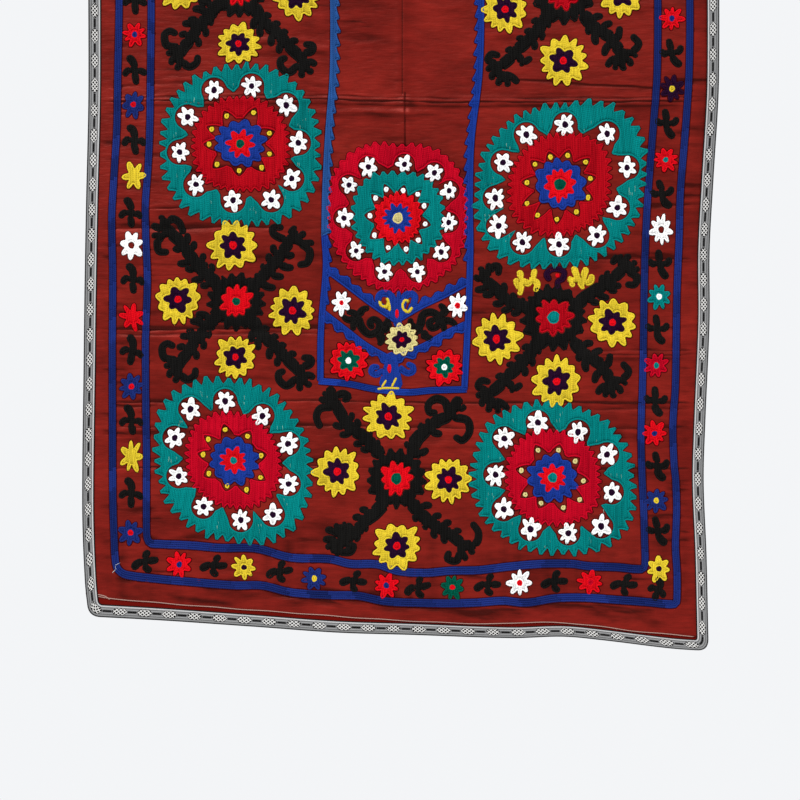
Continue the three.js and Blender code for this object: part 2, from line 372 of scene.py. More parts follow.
# Materials. A colour is given as it looks on the cloth, from 0 to 255, in the light of this scene.
LIGHT = 1.7
THREADS = {
    "teal": (4, 132, 130),
    "crimson": (198, 8, 36),
    "red": (228, 12, 26),
    "scarlet": (186, 10, 26),
    "blue": (30, 46, 114),
    "royal": (28, 58, 148),
    "steel": (42, 86, 152),
    "yellow": (234, 205, 52),
    "white": (268, 268, 266),
    "black": (24, 23, 22),
    "purple": (38, 12, 40),
    "green": (0, 86, 66),
    "cream": (228, 214, 142),
    # Painted shade: the low dark rows round the shapes and beside the bars stand in for the shadow line where
    # stitching meets satin
    "edge": (62, 8, 8),
    # Painted highlight: the short pale rows of the glints
    "pale": (176, 214, 190),
    "selvedge": (196, 156, 144),
}
SATIN_DARK, SATIN_WARM = (101, 15, 12), (137, 32, 24)
STRIP = (112, 20, 14)
SATIN_GLEAM, STRIP_GLEAM = (240, 110, 95), (240, 60, 60)


def linear(colour, light=LIGHT):
    """Scene values from a colour of 0 to 255 a channel."""
    values = [c / 255 for c in colour]
    values = [v / 12.92 if v <= 0.04045 else ((v + 0.055) / 1.055) ** 2.4 for v in values]
    return (*(v / light for v in values), 1)


class Shader:
    """Builds a material's nodes with one call for each."""

    def __init__(self, name, roughness, sheen=0.0, specular=0.1, gleam=(1, 1, 1, 1)):
        self.material = bpy.data.materials.new(name)
        self.material.use_nodes = True
        self.tree = self.material.node_tree
        self.surface = self.tree.nodes["Principled BSDF"]
        self.surface.inputs["Roughness"].default_value = roughness
        self.surface.inputs["Sheen Weight"].default_value = sheen
        self.surface.inputs["Sheen Roughness"].default_value = 0.4
        self.surface.inputs["Specular IOR Level"].default_value = specular
        self.surface.inputs["Specular Tint"].default_value = gleam
        self.surface.inputs["Sheen Tint"].default_value = gleam

    def put(self, socket, value):
        if isinstance(value, bpy.types.NodeSocket):
            self.tree.links.new(value, socket)
        else:
            socket.default_value = value

    def node(self, kind, *inputs, **settings):
        """A node with its first inputs in order, each a value or another node's output."""
        node = self.tree.nodes.new(kind)
        for key, value in settings.items():
            setattr(node, key, value)
        for socket, value in zip(node.inputs, inputs):
            if value is not None:
                self.put(socket, value)
        return node

    def math(self, operation, *inputs):
        return self.node("ShaderNodeMath", *inputs, operation=operation).outputs[0]

    def total(self, first, *others):
        for other in others:
            first = self.math("ADD", first, other)
        return first

    def times(self, value, factor):
        return self.math("MULTIPLY", value, factor)

    def value(self, attribute):
        return self.node("ShaderNodeAttribute", attribute_name=attribute).outputs["Fac"]

    def noise(self, scale, detail):
        """Noise with its own number of cycles a metre along x, y and z, from 0 to 1."""
        where = self.node("ShaderNodeTexCoord").outputs["Object"]
        cycles = self.node("ShaderNodeMapping", where, None, None, scale).outputs[0]
        node = self.node("ShaderNodeTexNoise", cycles)
        node.inputs["Scale"].default_value = 1.0
        node.inputs["Detail"].default_value = detail
        return node.outputs["Fac"]

    def ramp(self, factor, low, high):
        """A value that runs from low to high as the factor runs from 0 to 1."""
        return self.node("ShaderNodeMapRange", factor, 0.0, 1.0, low, high).outputs[0]

    def mix(self, factor, first, second):
        node = self.node("ShaderNodeMix", data_type="RGBA")
        self.put(node.inputs["Factor"], factor)
        self.put(node.inputs[6], first)
        self.put(node.inputs[7], second)
        return node.outputs[2]

    def stripes(self, factor, table):
        """Greys from a table of places from 0 to 1."""
        node = self.node("ShaderNodeValToRGB", factor)
        elements = node.color_ramp.elements
        while len(elements) < len(table):
            elements.new(0.5)
        for element, (place, grey) in zip(elements, table):
            element.position = place
            element.color = linear((grey, grey, grey))
        return node.outputs[0]

    def scaled(self, colour, factor):
        node = self.node("ShaderNodeVectorMath", operation="SCALE")
        self.put(node.inputs[0], colour[:3] if isinstance(colour, tuple) else colour)
        self.put(node.inputs["Scale"], factor)
        return node.outputs[0]

    def finish(self, colour, height=None, distance=0.0003, strength=0.6):
        self.put(self.surface.inputs["Base Color"], colour)
        if height is not None:
            bump = self.node("ShaderNodeBump")
            bump.inputs["Strength"].default_value = strength
            bump.inputs["Distance"].default_value = distance
            self.put(bump.inputs["Height"], height)
            self.put(self.surface.inputs["Normal"], bump.outputs[0])
        return self.material


def satin_material():
    """Satin with slubs, crushed folds and blotches, with painted shade in its grooves and where it faces
    down.
    """
    s = Shader("satin", roughness=0.42, sheen=0.1, specular=0.4, gleam=linear(SATIN_GLEAM, 1))
    slubs = s.noise((22, 5, 520), 4.0)
    warp = s.noise((900, 5, 30), 2.0)
    patches = s.noise((5, 5, 9), 4.0)
    crushed = s.noise((26, 5, 95), 5.0)
    blotches = s.noise((9, 5, 24), 5.0)
    tilt = s.value("tilt")
    tone = s.total(
        s.ramp(patches, -0.34, 0.34),
        s.ramp(slubs, -0.3, 0.3),
        s.ramp(warp, -0.1, 0.1),
        s.ramp(crushed, -0.42, 0.42),
        s.ramp(blotches, -0.7, 0.66),
        # painted shade in the grooves, by their depth
        s.times(s.value("pressed"), -0.33),
        # painted shade on the slopes: strong where the cloth faces down, slight on any slope
        s.times(s.math("MAXIMUM", tilt, 0.0), -1.9),
        s.times(s.math("ABSOLUTE", tilt), -0.18),
    )
    warm = s.mix(patches, linear(SATIN_DARK), linear(SATIN_WARM))
    colour = s.scaled(warm, s.total(s.math("MAXIMUM", tone, -0.8), 1.0))
    height = s.total(s.times(crushed, 2.2), s.times(slubs, 0.5))
    return s.finish(colour, height, distance=0.0016, strength=0.55)


def strip_material():
    """Plain weave with soft patches."""
    s = Shader("strip", roughness=0.8, gleam=linear(STRIP_GLEAM, 1))
    weave = s.noise((700, 5, 700), 2.0)
    patches = s.noise((14, 5, 20), 3.0)
    tone = s.total(s.ramp(patches, 0.75, 1.25), s.ramp(weave, -0.12, 0.12))
    return s.finish(s.scaled(linear(STRIP), tone), weave)


def thread_material(name, colour):
    """Chain stitch with the tint of each needleful, and painted shade between rows and at each link."""
    gleam = linear(tuple(60 + 0.75 * c for c in colour), 1)
    s = Shader("thread_" + name, roughness=0.6, sheen=0.04, specular=0.14, gleam=gleam)
    side = s.math("ABSOLUTE", s.value("across"))
    link = s.math("FRACT", s.total(s.value("links"), s.times(side, 0.35)))
    hump = s.math("SINE", s.times(link, math.pi))
    tone = s.total(
        s.times(s.value("tint"), 0.24),
        1.06,
        # painted shade towards the sides of each row
        s.times(s.math("POWER", side, 3.0), -0.3),
        # painted shade between the links
        s.ramp(hump, -0.16, 0.04),
        s.ramp(s.noise((260, 60, 260), 3.0), -0.1, 0.1),
    )
    return s.finish(s.scaled(linear(colour), tone), hump, distance=0.0005, strength=0.7)


# Stripes of the woven band: the place across it, from its outer edge to its inner one, and the grey there
BAND_STRIPES = [
    (0.0, 26), (0.08, 36), (0.105, 118), (0.14, 140), (0.2, 160), (0.235, 66), (0.27, 126), (0.34, 176),
    (0.39, 104), (0.43, 168), (0.57, 168), (0.61, 104), (0.66, 176), (0.73, 126), (0.765, 66), (0.8, 184),
    (0.86, 216), (0.9, 206), (0.925, 60), (0.94, 12), (1.0, 12),
]

# Its lozenges, their dark surrounds and the dashes between them, as shares of a repeat and of the width
LOZENGE = {"reach": 0.3, "half": 0.25, "taper": 0.55}
SURROUND = {"reach": 0.335, "half": 0.3}
DASH = {"reach": 0.175, "half": 0.08}
LATTICE = {"slant": 0.62, "pitch": 0.16, "hole": 0.3}
RIB_TURNS = 62.0
SURROUND_GREY, DASH_DARK = (46, 44, 46), (14, 11, 12)
LOZENGE_PALE, LOZENGE_DARK = (244, 242, 238), (10, 9, 11)


def band_material():
    """Woven band. Its attributes run along it in repeats, and across it from 0 to 1."""
    s = Shader("band", roughness=0.85, sheen=0.03)
    repeat = s.value("repeat")
    across = s.value("across")
    along_it = s.math("ABSOLUTE", s.math("SUBTRACT", s.math("FRACT", repeat), 0.5))
    middle = s.math("ABSOLUTE", s.math("SUBTRACT", across, 0.5))

    def inside(value, limit):
        return s.math("LESS_THAN", value, limit)

    def both(first, second):
        return s.times(first, second)

    def line_of(way):
        slanting = s.math(way, repeat, s.times(across, LATTICE["slant"]))
        turn = s.math("FRACT", s.math("DIVIDE", slanting, LATTICE["pitch"]))
        return s.math("GREATER_THAN", turn, LATTICE["hole"])

    reach = s.total(along_it, s.times(middle, LOZENGE["taper"]))
    lattice = both(inside(reach, LOZENGE["reach"]), inside(middle, LOZENGE["half"]))
    surround = both(inside(reach, SURROUND["reach"]), inside(middle, SURROUND["half"]))
    holes = both(line_of("ADD"), line_of("SUBTRACT"))
    dash = both(inside(s.math("SUBTRACT", 0.5, along_it), DASH["reach"]), inside(middle, DASH["half"]))
    threads = s.math("SINE", s.times(across, RIB_TURNS))
    speck = s.noise((500, 200, 500), 3.0)
    colour = s.stripes(across, BAND_STRIPES)
    colour = s.mix(surround, colour, linear(SURROUND_GREY))
    colour = s.mix(lattice, colour, s.mix(holes, linear(LOZENGE_PALE), linear(LOZENGE_DARK)))
    colour = s.mix(dash, colour, linear(DASH_DARK))
    colour = s.scaled(colour, s.ramp(speck, 0.76, 1.24))
    height = s.total(s.times(threads, 0.4), lattice, dash, s.times(holes, -1.0))
    return s.finish(colour, height, distance=0.0005, strength=0.5)


# Rows of thread. Their widths and heights, how deep they are sunk, the miss that splits a step and the length
# of a link are in millimetres. The pitch, the step and the shortest row are in chart points.
ROW_WIDTH, ROW_HEIGHT = 6.0, 1.2
OUTLINE_HEIGHT = 1.5
# The low dark rows of painted shade round shapes and along bars
SHADE_ROW_WIDTH, SHADE_ROW_HEIGHT = 3.2, 0.5
LEVEL_WIDENS = 1.3
TIP_WIDTH, TIP_HEIGHT = 0.75, 0.6
SUNK = 0.25
BRIDGED = 0.6
FOLD_MISS, SPLITS = 0.22, 2
LINK, LINKS_COUNTED = 4.6, 1000
ROW_PITCH, STEP, SHORTEST_ROW = 1.55, 4.0, 1.3
SWAY, SWAY_OVER, TINT_SPREAD = 0.12, 7, 0.5
SHADE_ROW_OUT, FILL_INSET, OUTLINE_INSET, OUTLINE_TINT = 0.45, 0.9, 0.75, 0.45
JOINED_OVERLAP, JOINED_INSET, JOINED_TINT = 0.3, 0.6, 0.2


class Stitching:
    """Rows of thread over the cloth, gathered into one mesh. A row on a raised level covers lower ones."""

    def __init__(self, name):
        self.name = name
        self.rows = []
        self.level = 0.0

    def row(self, points, colour, width=ROW_WIDTH, height=ROW_HEIGHT, tint=0.0):
        if len(points) > 1:
            over = (width + LEVEL_WIDENS * self.level, height + self.level)
            self.rows.append((np.asarray(points, float), colour, *over, tint))

    def refined(self):
        """The points of all rows, with more where they cross a sharp fold, and the row each belongs to."""
        chart = np.concatenate([r[0] for r in self.rows])
        owner = np.repeat(np.arange(len(self.rows)), [len(r[0]) for r in self.rows])
        for _ in range(SPLITS):
            start = np.flatnonzero(owner[:-1] == owner[1:])
            x, drop = chart_x(chart[:, 0]), chart_drop(chart[:, 1])
            height = forward(x, drop, BRIDGED)
            middle = forward((x[start] + x[start + 1]) / 2, (drop[start] + drop[start + 1]) / 2, BRIDGED)
            off = np.abs(middle - (height[start] + height[start + 1]) / 2)
            start = start[off > FOLD_MISS]
            chart = np.insert(chart, start + 1, (chart[start] + chart[start + 1]) / 2, axis=0)
            owner = np.insert(owner, start + 1, owner[start])
        return chart, owner

    def build(self):
        chart, owner = self.refined()
        counts = np.bincount(owner)
        total = counts.sum()
        first = np.repeat(np.cumsum(counts) - counts, counts)
        last = first + np.repeat(counts, counts) - 1
        index = np.arange(total)
        x, drop = chart_x(chart[:, 0]), chart_drop(chart[:, 1])
        width, height, tint = (np.repeat([r[k] for r in self.rows], counts) for k in (2, 3, 4))
        before, after = np.maximum(index - 1, first), np.minimum(index + 1, last)
        run = np.stack([x[after] - x[before], drop[after] - drop[before]])
        run /= np.maximum(np.hypot(*run), 1e-6)
        looped = np.hypot(x[first] - x[last], drop[first] - drop[last]) < 0.01
        tip = ((index == first) | (index == last)) & ~looped
        half = width / 2 * np.where(tip, TIP_WIDTH, 1)
        rise = height * np.where(tip, TIP_HEIGHT, 1)
        sides = [(-half * run[1], half * run[0], -SUNK), (0, 0, rise), (half * run[1], -half * run[0], -SUNK)]
        corners = [places(x + dx, drop + dy, lift, BRIDGED) for dx, dy, lift in sides]
        points = np.stack(corners, axis=1).reshape(-1, 3)
        gone = np.hypot(x - x[before], drop - drop[before]) / LINK
        links = np.cumsum(np.where(index == first, 0, gone)) % LINKS_COUNTED
        start = index[index != last]
        left, top, right = start * 3, start * 3 + 1, start * 3 + 2
        faces = np.concatenate(
            [
                np.stack([left, left + 3, top + 3, top], axis=1),
                np.stack([top, top + 3, right + 3, right], axis=1),
                np.stack([right, right + 3, left + 3, left], axis=1),
            ]
        )
        ends = np.cumsum(counts) - 1
        begins = ends - counts + 1
        caps = np.concatenate(
            [
                np.stack([begins * 3, begins * 3 + 1, begins * 3 + 2], axis=1),
                np.stack([ends * 3 + 2, ends * 3 + 1, ends * 3], axis=1),
            ]
        )
        colours = sorted({r[1] for r in self.rows})
        slot = np.array([colours.index(r[1]) for r in self.rows])
        of_point = np.repeat(slot, counts)
        slot_of = np.concatenate([np.tile(of_point[start], 3), slot, slot])
        attributes = [
            ("across", np.tile([-1.0, 0.0, 1.0], total)),
            ("links", np.repeat(links, 3)),
            ("tint", np.repeat(tint, 3)),
        ]
        slots = [thread_materials[c] for c in colours]
        piece = new_mesh(self.name, points, faces.tolist() + caps.tolist(), attributes, slots, slot_of)
        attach(piece, "root")
        return piece


# Shapes, as closed outlines in chart points. Angles run clockwise from straight up.
TOOTH = np.array([(0, 0.1), (0.22, 0.5), (0.42, 0.98), (0.66, 0.98), (0.84, 0.35)])
LEAF_TOOTH = np.array([(0, 0), (0.3, 0.22), (0.62, 0.7), (0.84, 1.0), (0.93, 0.85), (0.97, 0.1)])
PETAL_SAMPLES = 7
ROUND_BULGE = 1.4
SAW_SHIFT, SAW_TALL, BAR_TOOTH_TALL = 0.13, (0.75, 1.12), (0.7, 1.1)
POCKET_SHARE, WEDGE_SHARE, WEDGE_CURVE = 0.82, 0.85, 1.2
DOT_TALL = (0.95, 1.2)


def polar(centre, angles, radii, stretch=(1, 1)):
    x = centre[0] + stretch[0] * radii * np.sin(angles)
    return np.column_stack([x, centre[1] - stretch[1] * radii * np.cos(angles)])


def uneven(angles, amount):
    """The slow unevenness of a hand-drawn round."""
    turns = rng.uniform(0, 1, 3)
    return 1 + amount * sum(np.sin(k * angles + 2 * math.pi * t) for k, t in zip((2, 3, 5), turns))


def bulge(angles, corners):
    """How far a round stands out of its oval about its corners, from the upper right one clockwise."""
    quarter = (angles // (math.pi / 2)).astype(int) % 4
    return np.array(corners)[quarter] * np.abs(np.sin(2 * angles)) ** ROUND_BULGE


def saw(centre, teeth, base, tip, stretch=(1, 1), corners=(0, 0, 0, 0)):
    """A round edged with small blunt teeth."""
    starts = (np.arange(teeth) + rng.uniform(-SAW_SHIFT, SAW_SHIFT, teeth)) / teeth
    widths = np.diff(np.append(starts, starts[0] + 1))
    tall = rng.uniform(*SAW_TALL, teeth)
    angles = (2 * math.pi * (starts[:, None] + widths[:, None] * TOOTH[:, 0])).ravel()
    radii = (base + (tip - base) * tall[:, None] * TOOTH[:, 1]).ravel() * uneven(angles, 0.006)
    return polar(centre, angles, radii + bulge(angles, corners), stretch)


def petals(centre, count, tip, notch, blunt, stretch=(1, 1), uneven_by=0.1):
    """A flower or star outline. A blunt of under 1 gives round petals, and over 1 gives points."""
    turn = rng.uniform(0, 2 * math.pi)
    angles = np.linspace(0, 2 * math.pi, count * PETAL_SAMPLES, endpoint=False)
    turns = count * angles / (2 * math.pi)
    lobe = ((1 + np.cos(2 * math.pi * turns)) / 2) ** blunt
    long = rng.uniform(1 - uneven_by, 1 + uneven_by, count)[np.round(turns).astype(int) % count]
    radii = (notch + (tip * long - notch) * lobe) * uneven(angles, 0.015)
    return polar(centre, angles + turn + uneven_by * np.sin(2 * angles), radii, stretch)


def bays(centre, places_round, profile, samples=220):
    """An outline with one bay about each place, from a profile of the angle off its middle."""
    degrees, rings = np.array(sorted(places_round), float).T
    middles = np.radians(degrees)
    angles = np.linspace(0, 2 * math.pi, samples, endpoint=False)
    off = (angles[:, None] - middles[None, :] + math.pi) % (2 * math.pi) - math.pi
    nearest = np.abs(off).argmin(axis=1)
    off = off[np.arange(samples), nearest]
    neighbour = (nearest + np.where(off > 0, 1, -1)) % len(middles)
    gap = np.abs((middles[neighbour] - middles[nearest] + math.pi) % (2 * math.pi) - math.pi)
    between = (rings[nearest] + rings[neighbour]) / 2
    return polar(centre, angles, profile(np.abs(off), gap / 2, rings[nearest], between))


def round_bay(radius, claw):
    """Round pockets, with claws between them that end this far inside the ring of flowers."""

    def profile(off, half_gap, ring, between):
        edge = np.minimum(np.arcsin(radius / ring), POCKET_SHARE * half_gap)
        inside = np.minimum(off, edge)
        far = ring * np.cos(inside) + np.sqrt(np.maximum(radius**2 - (ring * np.sin(inside)) ** 2, 0))
        share = np.clip((off - edge) / (half_gap - edge), 0, 1)
        return np.where(off <= edge, far, far + (between - claw - far) * share)

    return profile


def wedge_bay(reach, half_width, inner):
    """Pointed pockets that end this far beyond their dots, on a round of the inner radius."""

    def profile(off, half_gap, ring, between):
        share = np.clip(off / np.minimum(half_width, WEDGE_SHARE * half_gap), 0, 1) ** WEDGE_CURVE
        return ring + reach + (inner - ring - reach) * share

    return profile


def dot(centre, radius, samples=12):
    angles = np.linspace(0, 2 * math.pi, samples, endpoint=False)
    tall = rng.uniform(*DOT_TALL)
    return polar(centre, angles, radius * uneven(angles, 0.05), (1, tall))


def curve(points, step=2.0):
    """A smooth line through chart points, in even steps."""
    points = np.asarray(points, float)
    lengths = np.concatenate([[0], np.cumsum(np.hypot(*np.diff(points, axis=0).T))])
    fine = np.linspace(0, lengths[-1], max(2, math.ceil(lengths[-1] / step) + 1))
    return np.column_stack([along(list(zip(lengths, points[:, k])), fine) for k in (0, 1)])


def normals(path):
    run = np.gradient(path, axis=0)
    run /= np.maximum(np.hypot(*run.T), 1e-9)[:, None]
    return np.column_stack([-run[:, 1], run[:, 0]])


def stroke(path, begin, end):
    """The outline of a line of tapering width, with round ends."""
    half = np.linspace(begin, end, len(path))[:, None] / 2
    side = normals(path) * half
    turns = np.radians([45, 90, 135])

    def cap(at, across):
        ahead = np.array([-across[1], across[0]])
        return [at + across * math.cos(t) - ahead * math.sin(t) for t in turns]

    there, back = path + side, (path - side)[::-1]
    return np.concatenate([there, cap(path[-1], side[-1]), back, cap(path[0], -side[0])])


def toothed(path, width, teeth, height, side, share=1.0, profile=TOOTH):
    """A bar with saw teeth along one side, over a share of its length."""
    reach = (share / teeth * (np.arange(teeth)[:, None] + profile[:, 0])).ravel()
    reach = np.concatenate([reach, np.linspace(share, 1, max(1, round((1 - share) * len(path))))])
    spread = np.linspace(0, 1, len(path))
    at = np.column_stack([np.interp(reach, spread, path[:, k]) for k in (0, 1)])
    out = np.column_stack([np.interp(reach, spread, normals(path)[:, k]) for k in (0, 1)])
    rise = height * np.outer(rng.uniform(*BAR_TOOTH_TALL, teeth), profile[:, 1]).ravel()
    rise = width / 2 + np.append(rise, np.zeros(len(reach) - len(rise)))
    plain = path - side * normals(path) * width / 2
    return np.concatenate([at + side * out * rise[:, None], plain[::-1]])


def inset(shape, distance):
    """The outline moved in by a distance, or out where it is below zero."""
    run = np.roll(shape, -1, axis=0) - np.roll(shape, 1, axis=0)
    run /= np.maximum(np.hypot(*run.T), 1e-9)[:, None]
    x, y = shape.T
    turning = np.sign(np.sum(x * np.roll(y, -1) - np.roll(x, -1) * y))
    return shape + turning * distance * np.column_stack([-run[:, 1], run[:, 0]])


def crossings(shape, x):
    """The spans of an upright line at x that lie inside a closed outline."""
    ax, ay = shape.T
    bx, by = np.roll(ax, -1), np.roll(ay, -1)
    hit = (ax <= x) != (bx <= x)
    ys = np.sort(ay[hit] + (x - ax[hit]) * (by[hit] - ay[hit]) / (bx[hit] - ax[hit]))
    return list(zip(ys[::2], ys[1::2]))


def joined(spans):
    """Overlapping spans as one."""
    out = []
    for a, b in sorted(spans):
        if out and a <= out[-1][1]:
            out[-1][1] = max(out[-1][1], b)
        else:
            out.append([a, b])
    return out


def without(spans, cuts):
    """The spans, with the cuts taken out of them."""
    for c, d in cuts:
        parts = [part for a, b in spans for part in ((a, min(b, c)), (max(a, d), b))]
        spans = [(a, b) for a, b in parts if b > a]
    return spans


def turned(points, angle, about):
    c, s = math.cos(angle), math.sin(angle)
    return (np.asarray(points) - about) @ np.array([[c, s], [-s, c]]) + about


def patch_tint(x, y, seed):
    """Slow change of colour over a piece of work, as from one needleful to the next."""
    broad = math.sin(x / 17 + seed) * math.sin(y / 23 + 2 * seed)
    return 0.5 * broad + 0.3 * math.sin((x + y) / 9 + 3 * seed)


def fill(work, shapes, colour, holes, lean):
    """Close rows of thread inside the shapes and clear of the holes, nearly upright."""
    about = np.mean(np.concatenate(shapes), axis=0)
    tilted = [turned(s, lean, about) for s in shapes]
    cut = [turned(h, lean, about) for h in holes]
    low = min(s[:, 0].min() for s in tilted)
    high = max(s[:, 0].max() for s in tilted)
    seed = rng.uniform(0, 6)
    for x in np.arange(low + rng.uniform(0.2, 0.8) * ROW_PITCH, high, ROW_PITCH):
        spans = joined([span for s in tilted for span in crossings(s, x)])
        spans = without(spans, joined([span for h in cut for span in crossings(h, x)]))
        for a, b in spans:
            if b - a < SHORTEST_ROW:
                continue
            ys = np.linspace(a, b, max(2, math.ceil((b - a) / STEP) + 1))
            sway = SWAY * np.sin(ys / SWAY_OVER + seed + x)
            line = turned(np.column_stack([x + sway, ys]), -lean, about)
            tint = patch_tint(x, (a + b) / 2, seed) + rng.uniform(-TINT_SPREAD, TINT_SPREAD)
            work.row(line, colour, tint=tint)


def outline(work, shape, colour, inwards=OUTLINE_INSET, tint=OUTLINE_TINT, hidden_by=()):
    """A row of thread along an outline, left out where other shapes cover it."""
    line = inset(shape, inwards)
    line = np.concatenate([line, line[:1]])
    covered = np.zeros(len(line), bool)
    for other in hidden_by:
        covered |= inside_of(other, line)
    changes = np.flatnonzero(np.diff(covered.astype(int))) + 1
    for part in np.split(np.arange(len(line)), changes):
        if not covered[part[0]]:
            work.row(line[part], colour, height=OUTLINE_HEIGHT, tint=tint + rng.uniform(-0.2, 0.2))


def inside_of(shape, points):
    """Whether each point lies inside a closed outline."""
    x, y = points[:, 0][:, None], points[:, 1][:, None]
    ax, ay = shape.T
    bx, by = np.roll(ax, -1), np.roll(ay, -1)
    rise = np.where(by == ay, 1e-9, by - ay)
    hits = ((ay <= y) != (by <= y)) & (x < ax + (y - ay) * (bx - ax) / rise)
    return hits.sum(axis=1) % 2 == 1


def motif(work, shape, colour, holes=(), bare=(), lean=None, edge=True):
    """One stitched shape: fill, outline and, if edge is set, a dark row of painted shade round it.

    Holes are stitched over by other shapes, and bare ones show the cloth.
    """
    lean = rng.uniform(-0.12, 0.12) if lean is None else lean
    # A low dark row of painted shade just outside the shape and just inside each bare hole
    if edge:
        for rim, out in [(shape, -SHADE_ROW_OUT)] + [(b, SHADE_ROW_OUT) for b in bare]:
            line = inset(rim, out)
            work.row(np.concatenate([line, line[:1]]), "edge", SHADE_ROW_WIDTH, SHADE_ROW_HEIGHT)
    cut = [inset(h, -FILL_INSET) for h in (*holes, *bare)]
    fill(work, [inset(shape, FILL_INSET)], colour, cut, lean)
    outline(work, shape, colour)
    for hole in (*holes, *bare):
        outline(work, hole, colour, inwards=-OUTLINE_INSET)


# The wheels: four rosettes that show, two above, and the medallion in the niche. Each pocket flower and each
# dot has its angle in degrees and its distance from the middle. The corners are how far the rim stands out
# at each, from the upper right one clockwise.
Wheel = namedtuple(
    "Wheel",
    "x y size corners teeth depth rim flowers pocket claw field field_teeth field_size dots dot_colour "
    "star star_size heart heart_size centre",
)
ROSETTES = [
    Wheel(
        240, 143.5, (80.5, 83), (3, 9, 6, 1), 46, 8.5, "teal",
        (
            (334, 60), (11, 59), (50, 60), (89, 58), (124, 62), (151, 64), (187, 57), (227, 60), (262, 61),
            (297, 59),
        ),
        12.9, 7.5, "scarlet", 40, (44, 49.5),
        ((334, 31), (23, 34), (70, 31), (109, 31), (138, 32), (182, 27), (228, 31), (269, 31), (297, 32)),
        "yellow", ("royal", 12), (25.5, 20), ("red", 8), (14.5, 9), ("green", 4.3),
    ),
    Wheel(
        559.5, 184, (86, 84.5), (13, 1, 12, -2), 50, 8.5, "teal",
        (
            (326, 60), (5, 60), (43, 69), (76, 69), (112, 62), (144, 63), (181, 60), (213, 69), (236, 74),
            (258, 66), (291, 61),
        ),
        12.8, 9.5, "scarlet", 42, (46.5, 52.5),
        (
            (341, 29), (15, 30), (49, 34), (79, 31), (115, 31), (149, 32), (185, 35), (216, 38), (240, 38),
            (273, 33), (309, 32),
        ),
        "yellow", ("royal", 12), (26.5, 21.5), ("red", 10), (17, 12), ("green", 5.8),
    ),
    Wheel(
        233, 460, (80, 83.5), (-4, 10, -1, 11), 46, 8.5, "teal",
        (
            (320, 67), (352, 60), (33, 53), (73, 57), (113, 60), (144, 67), (173, 60), (213, 55),
            (254, 57), (291, 63),
        ),
        12.5, 10, "crimson", 42, (43.5, 49),
        ((345, 32), (30, 28), (80, 28), (122, 32), (156, 32), (194, 26), (242, 28), (281, 31), (310, 33)),
        "yellow", ("royal", 12), (25.5, 20), ("red", 9), (13.9, 9), ("teal", 3.5),
    ),
    Wheel(
        552, 477, (83, 78), (1, 11, 1, 4), 47, 8.5, "teal",
        (
            (309, 62), (345, 57), (29, 52), (67, 59), (104, 61), (135, 69), (164, 58), (203, 56),
            (237, 58), (273, 57),
        ),
        12.5, 9, "crimson", 40, (43.5, 49),
        ((332, 31), (12, 28), (54, 28), (96, 31), (129, 35), (160, 32), (204, 28), (238, 32), (283, 32)),
        "cream", ("royal", 12), (25.5, 20), ("red", 9), (14.6, 9.5), ("teal", 4.5),
    ),
    Wheel(
        240, -164, (80.5, 78.5), (4, 3, 5, 2), 46, 8.5, "teal",
        (
            (4, 60), (41, 58), (77, 57), (113, 60), (148, 62), (184, 58), (221, 57), (256, 60), (292, 61),
            (329, 58),
        ),
        12.8, 8.5, "scarlet", 40, (45, 50),
        ((20, 30), (60, 31), (100, 29), (141, 30), (180, 31), (219, 30), (260, 31), (301, 30), (340, 31)),
        "yellow", ("royal", 12), (25.5, 20.5), ("red", 9), (14.2, 9.5), ("green", 4.4),
    ),
    Wheel(
        557, -161, (84, 80.5), (3, 6, 2, 4), 48, 8.5, "teal",
        (
            (12, 61), (46, 64), (79, 62), (112, 60), (145, 63), (178, 60), (210, 59), (243, 62), (276, 64),
            (310, 61), (341, 60),
        ),
        12.5, 9, "crimson", 42, (47, 52.5),
        (
            (0, 32), (33, 31), (65, 32), (98, 31), (131, 33), (164, 32), (196, 31), (229, 32), (262, 33),
            (294, 31), (327, 32),
        ),
        "cream", ("royal", 12), (26.5, 21.5), ("red", 10), (16, 11), ("teal", 5.2),
    ),
]
MEDALLION = Wheel(
    397.5, 217.5, (70.3, 75), (7, 2, -1, 10), 50, 4.8, "crimson",
    (
        (330, 59), (7, 54), (39, 58), (62, 58), (95, 51), (128, 55), (160, 57), (194, 55), (232, 53),
        (270, 54), (304, 59),
    ),
    10.6, 6, "teal", 30, (42, 47.5),
    (
        (338, 31), (11, 28), (40, 31), (65, 29), (102, 28), (137, 30), (165, 32), (198, 31), (234, 29),
        (275, 28), (312, 30),
    ),
    "white", ("red", 21), (25, 21.5), ("royal", 12), (14.8, 10.2), ("cream", 5),
)
DOT_RADIUS, DOT_REACH, DOT_BAY_HALF = 2.4, 6.0, 0.29
FIELD_FOLLOWS = 0.45
STAR_LEVEL, POCKET_LEVEL = 0.4, 0.6
POCKET_FLOWER = {"size": 0.92, "tip": 11, "notch": 6.0, "dot": 3.3, "tall": 1.08, "uneven": 0.14}
MEDALLION_FLOWER_SIZE = 0.8
# The short pale rows of painted highlight in each rosette's rim
GLINTS, GLINT_WIDTH, GLINT_HEIGHT = 24, 1.7, 2.0


def flower(work, centre, colour, heart, count, tip, notch, dot_size, tall=1.0, uneven_by=0.1):
    """A small flower with a dot, or with a bare middle where no heart is given."""
    shape = petals(centre, count, tip, notch, 0.7, (tall**-0.35, tall), uneven_by=uneven_by)
    middle = dot(centre, dot_size)
    if heart is None:
        motif(work, shape, colour, bare=[middle])
    else:
        motif(work, shape, colour, holes=[middle])
        motif(work, middle, heart, edge=False)


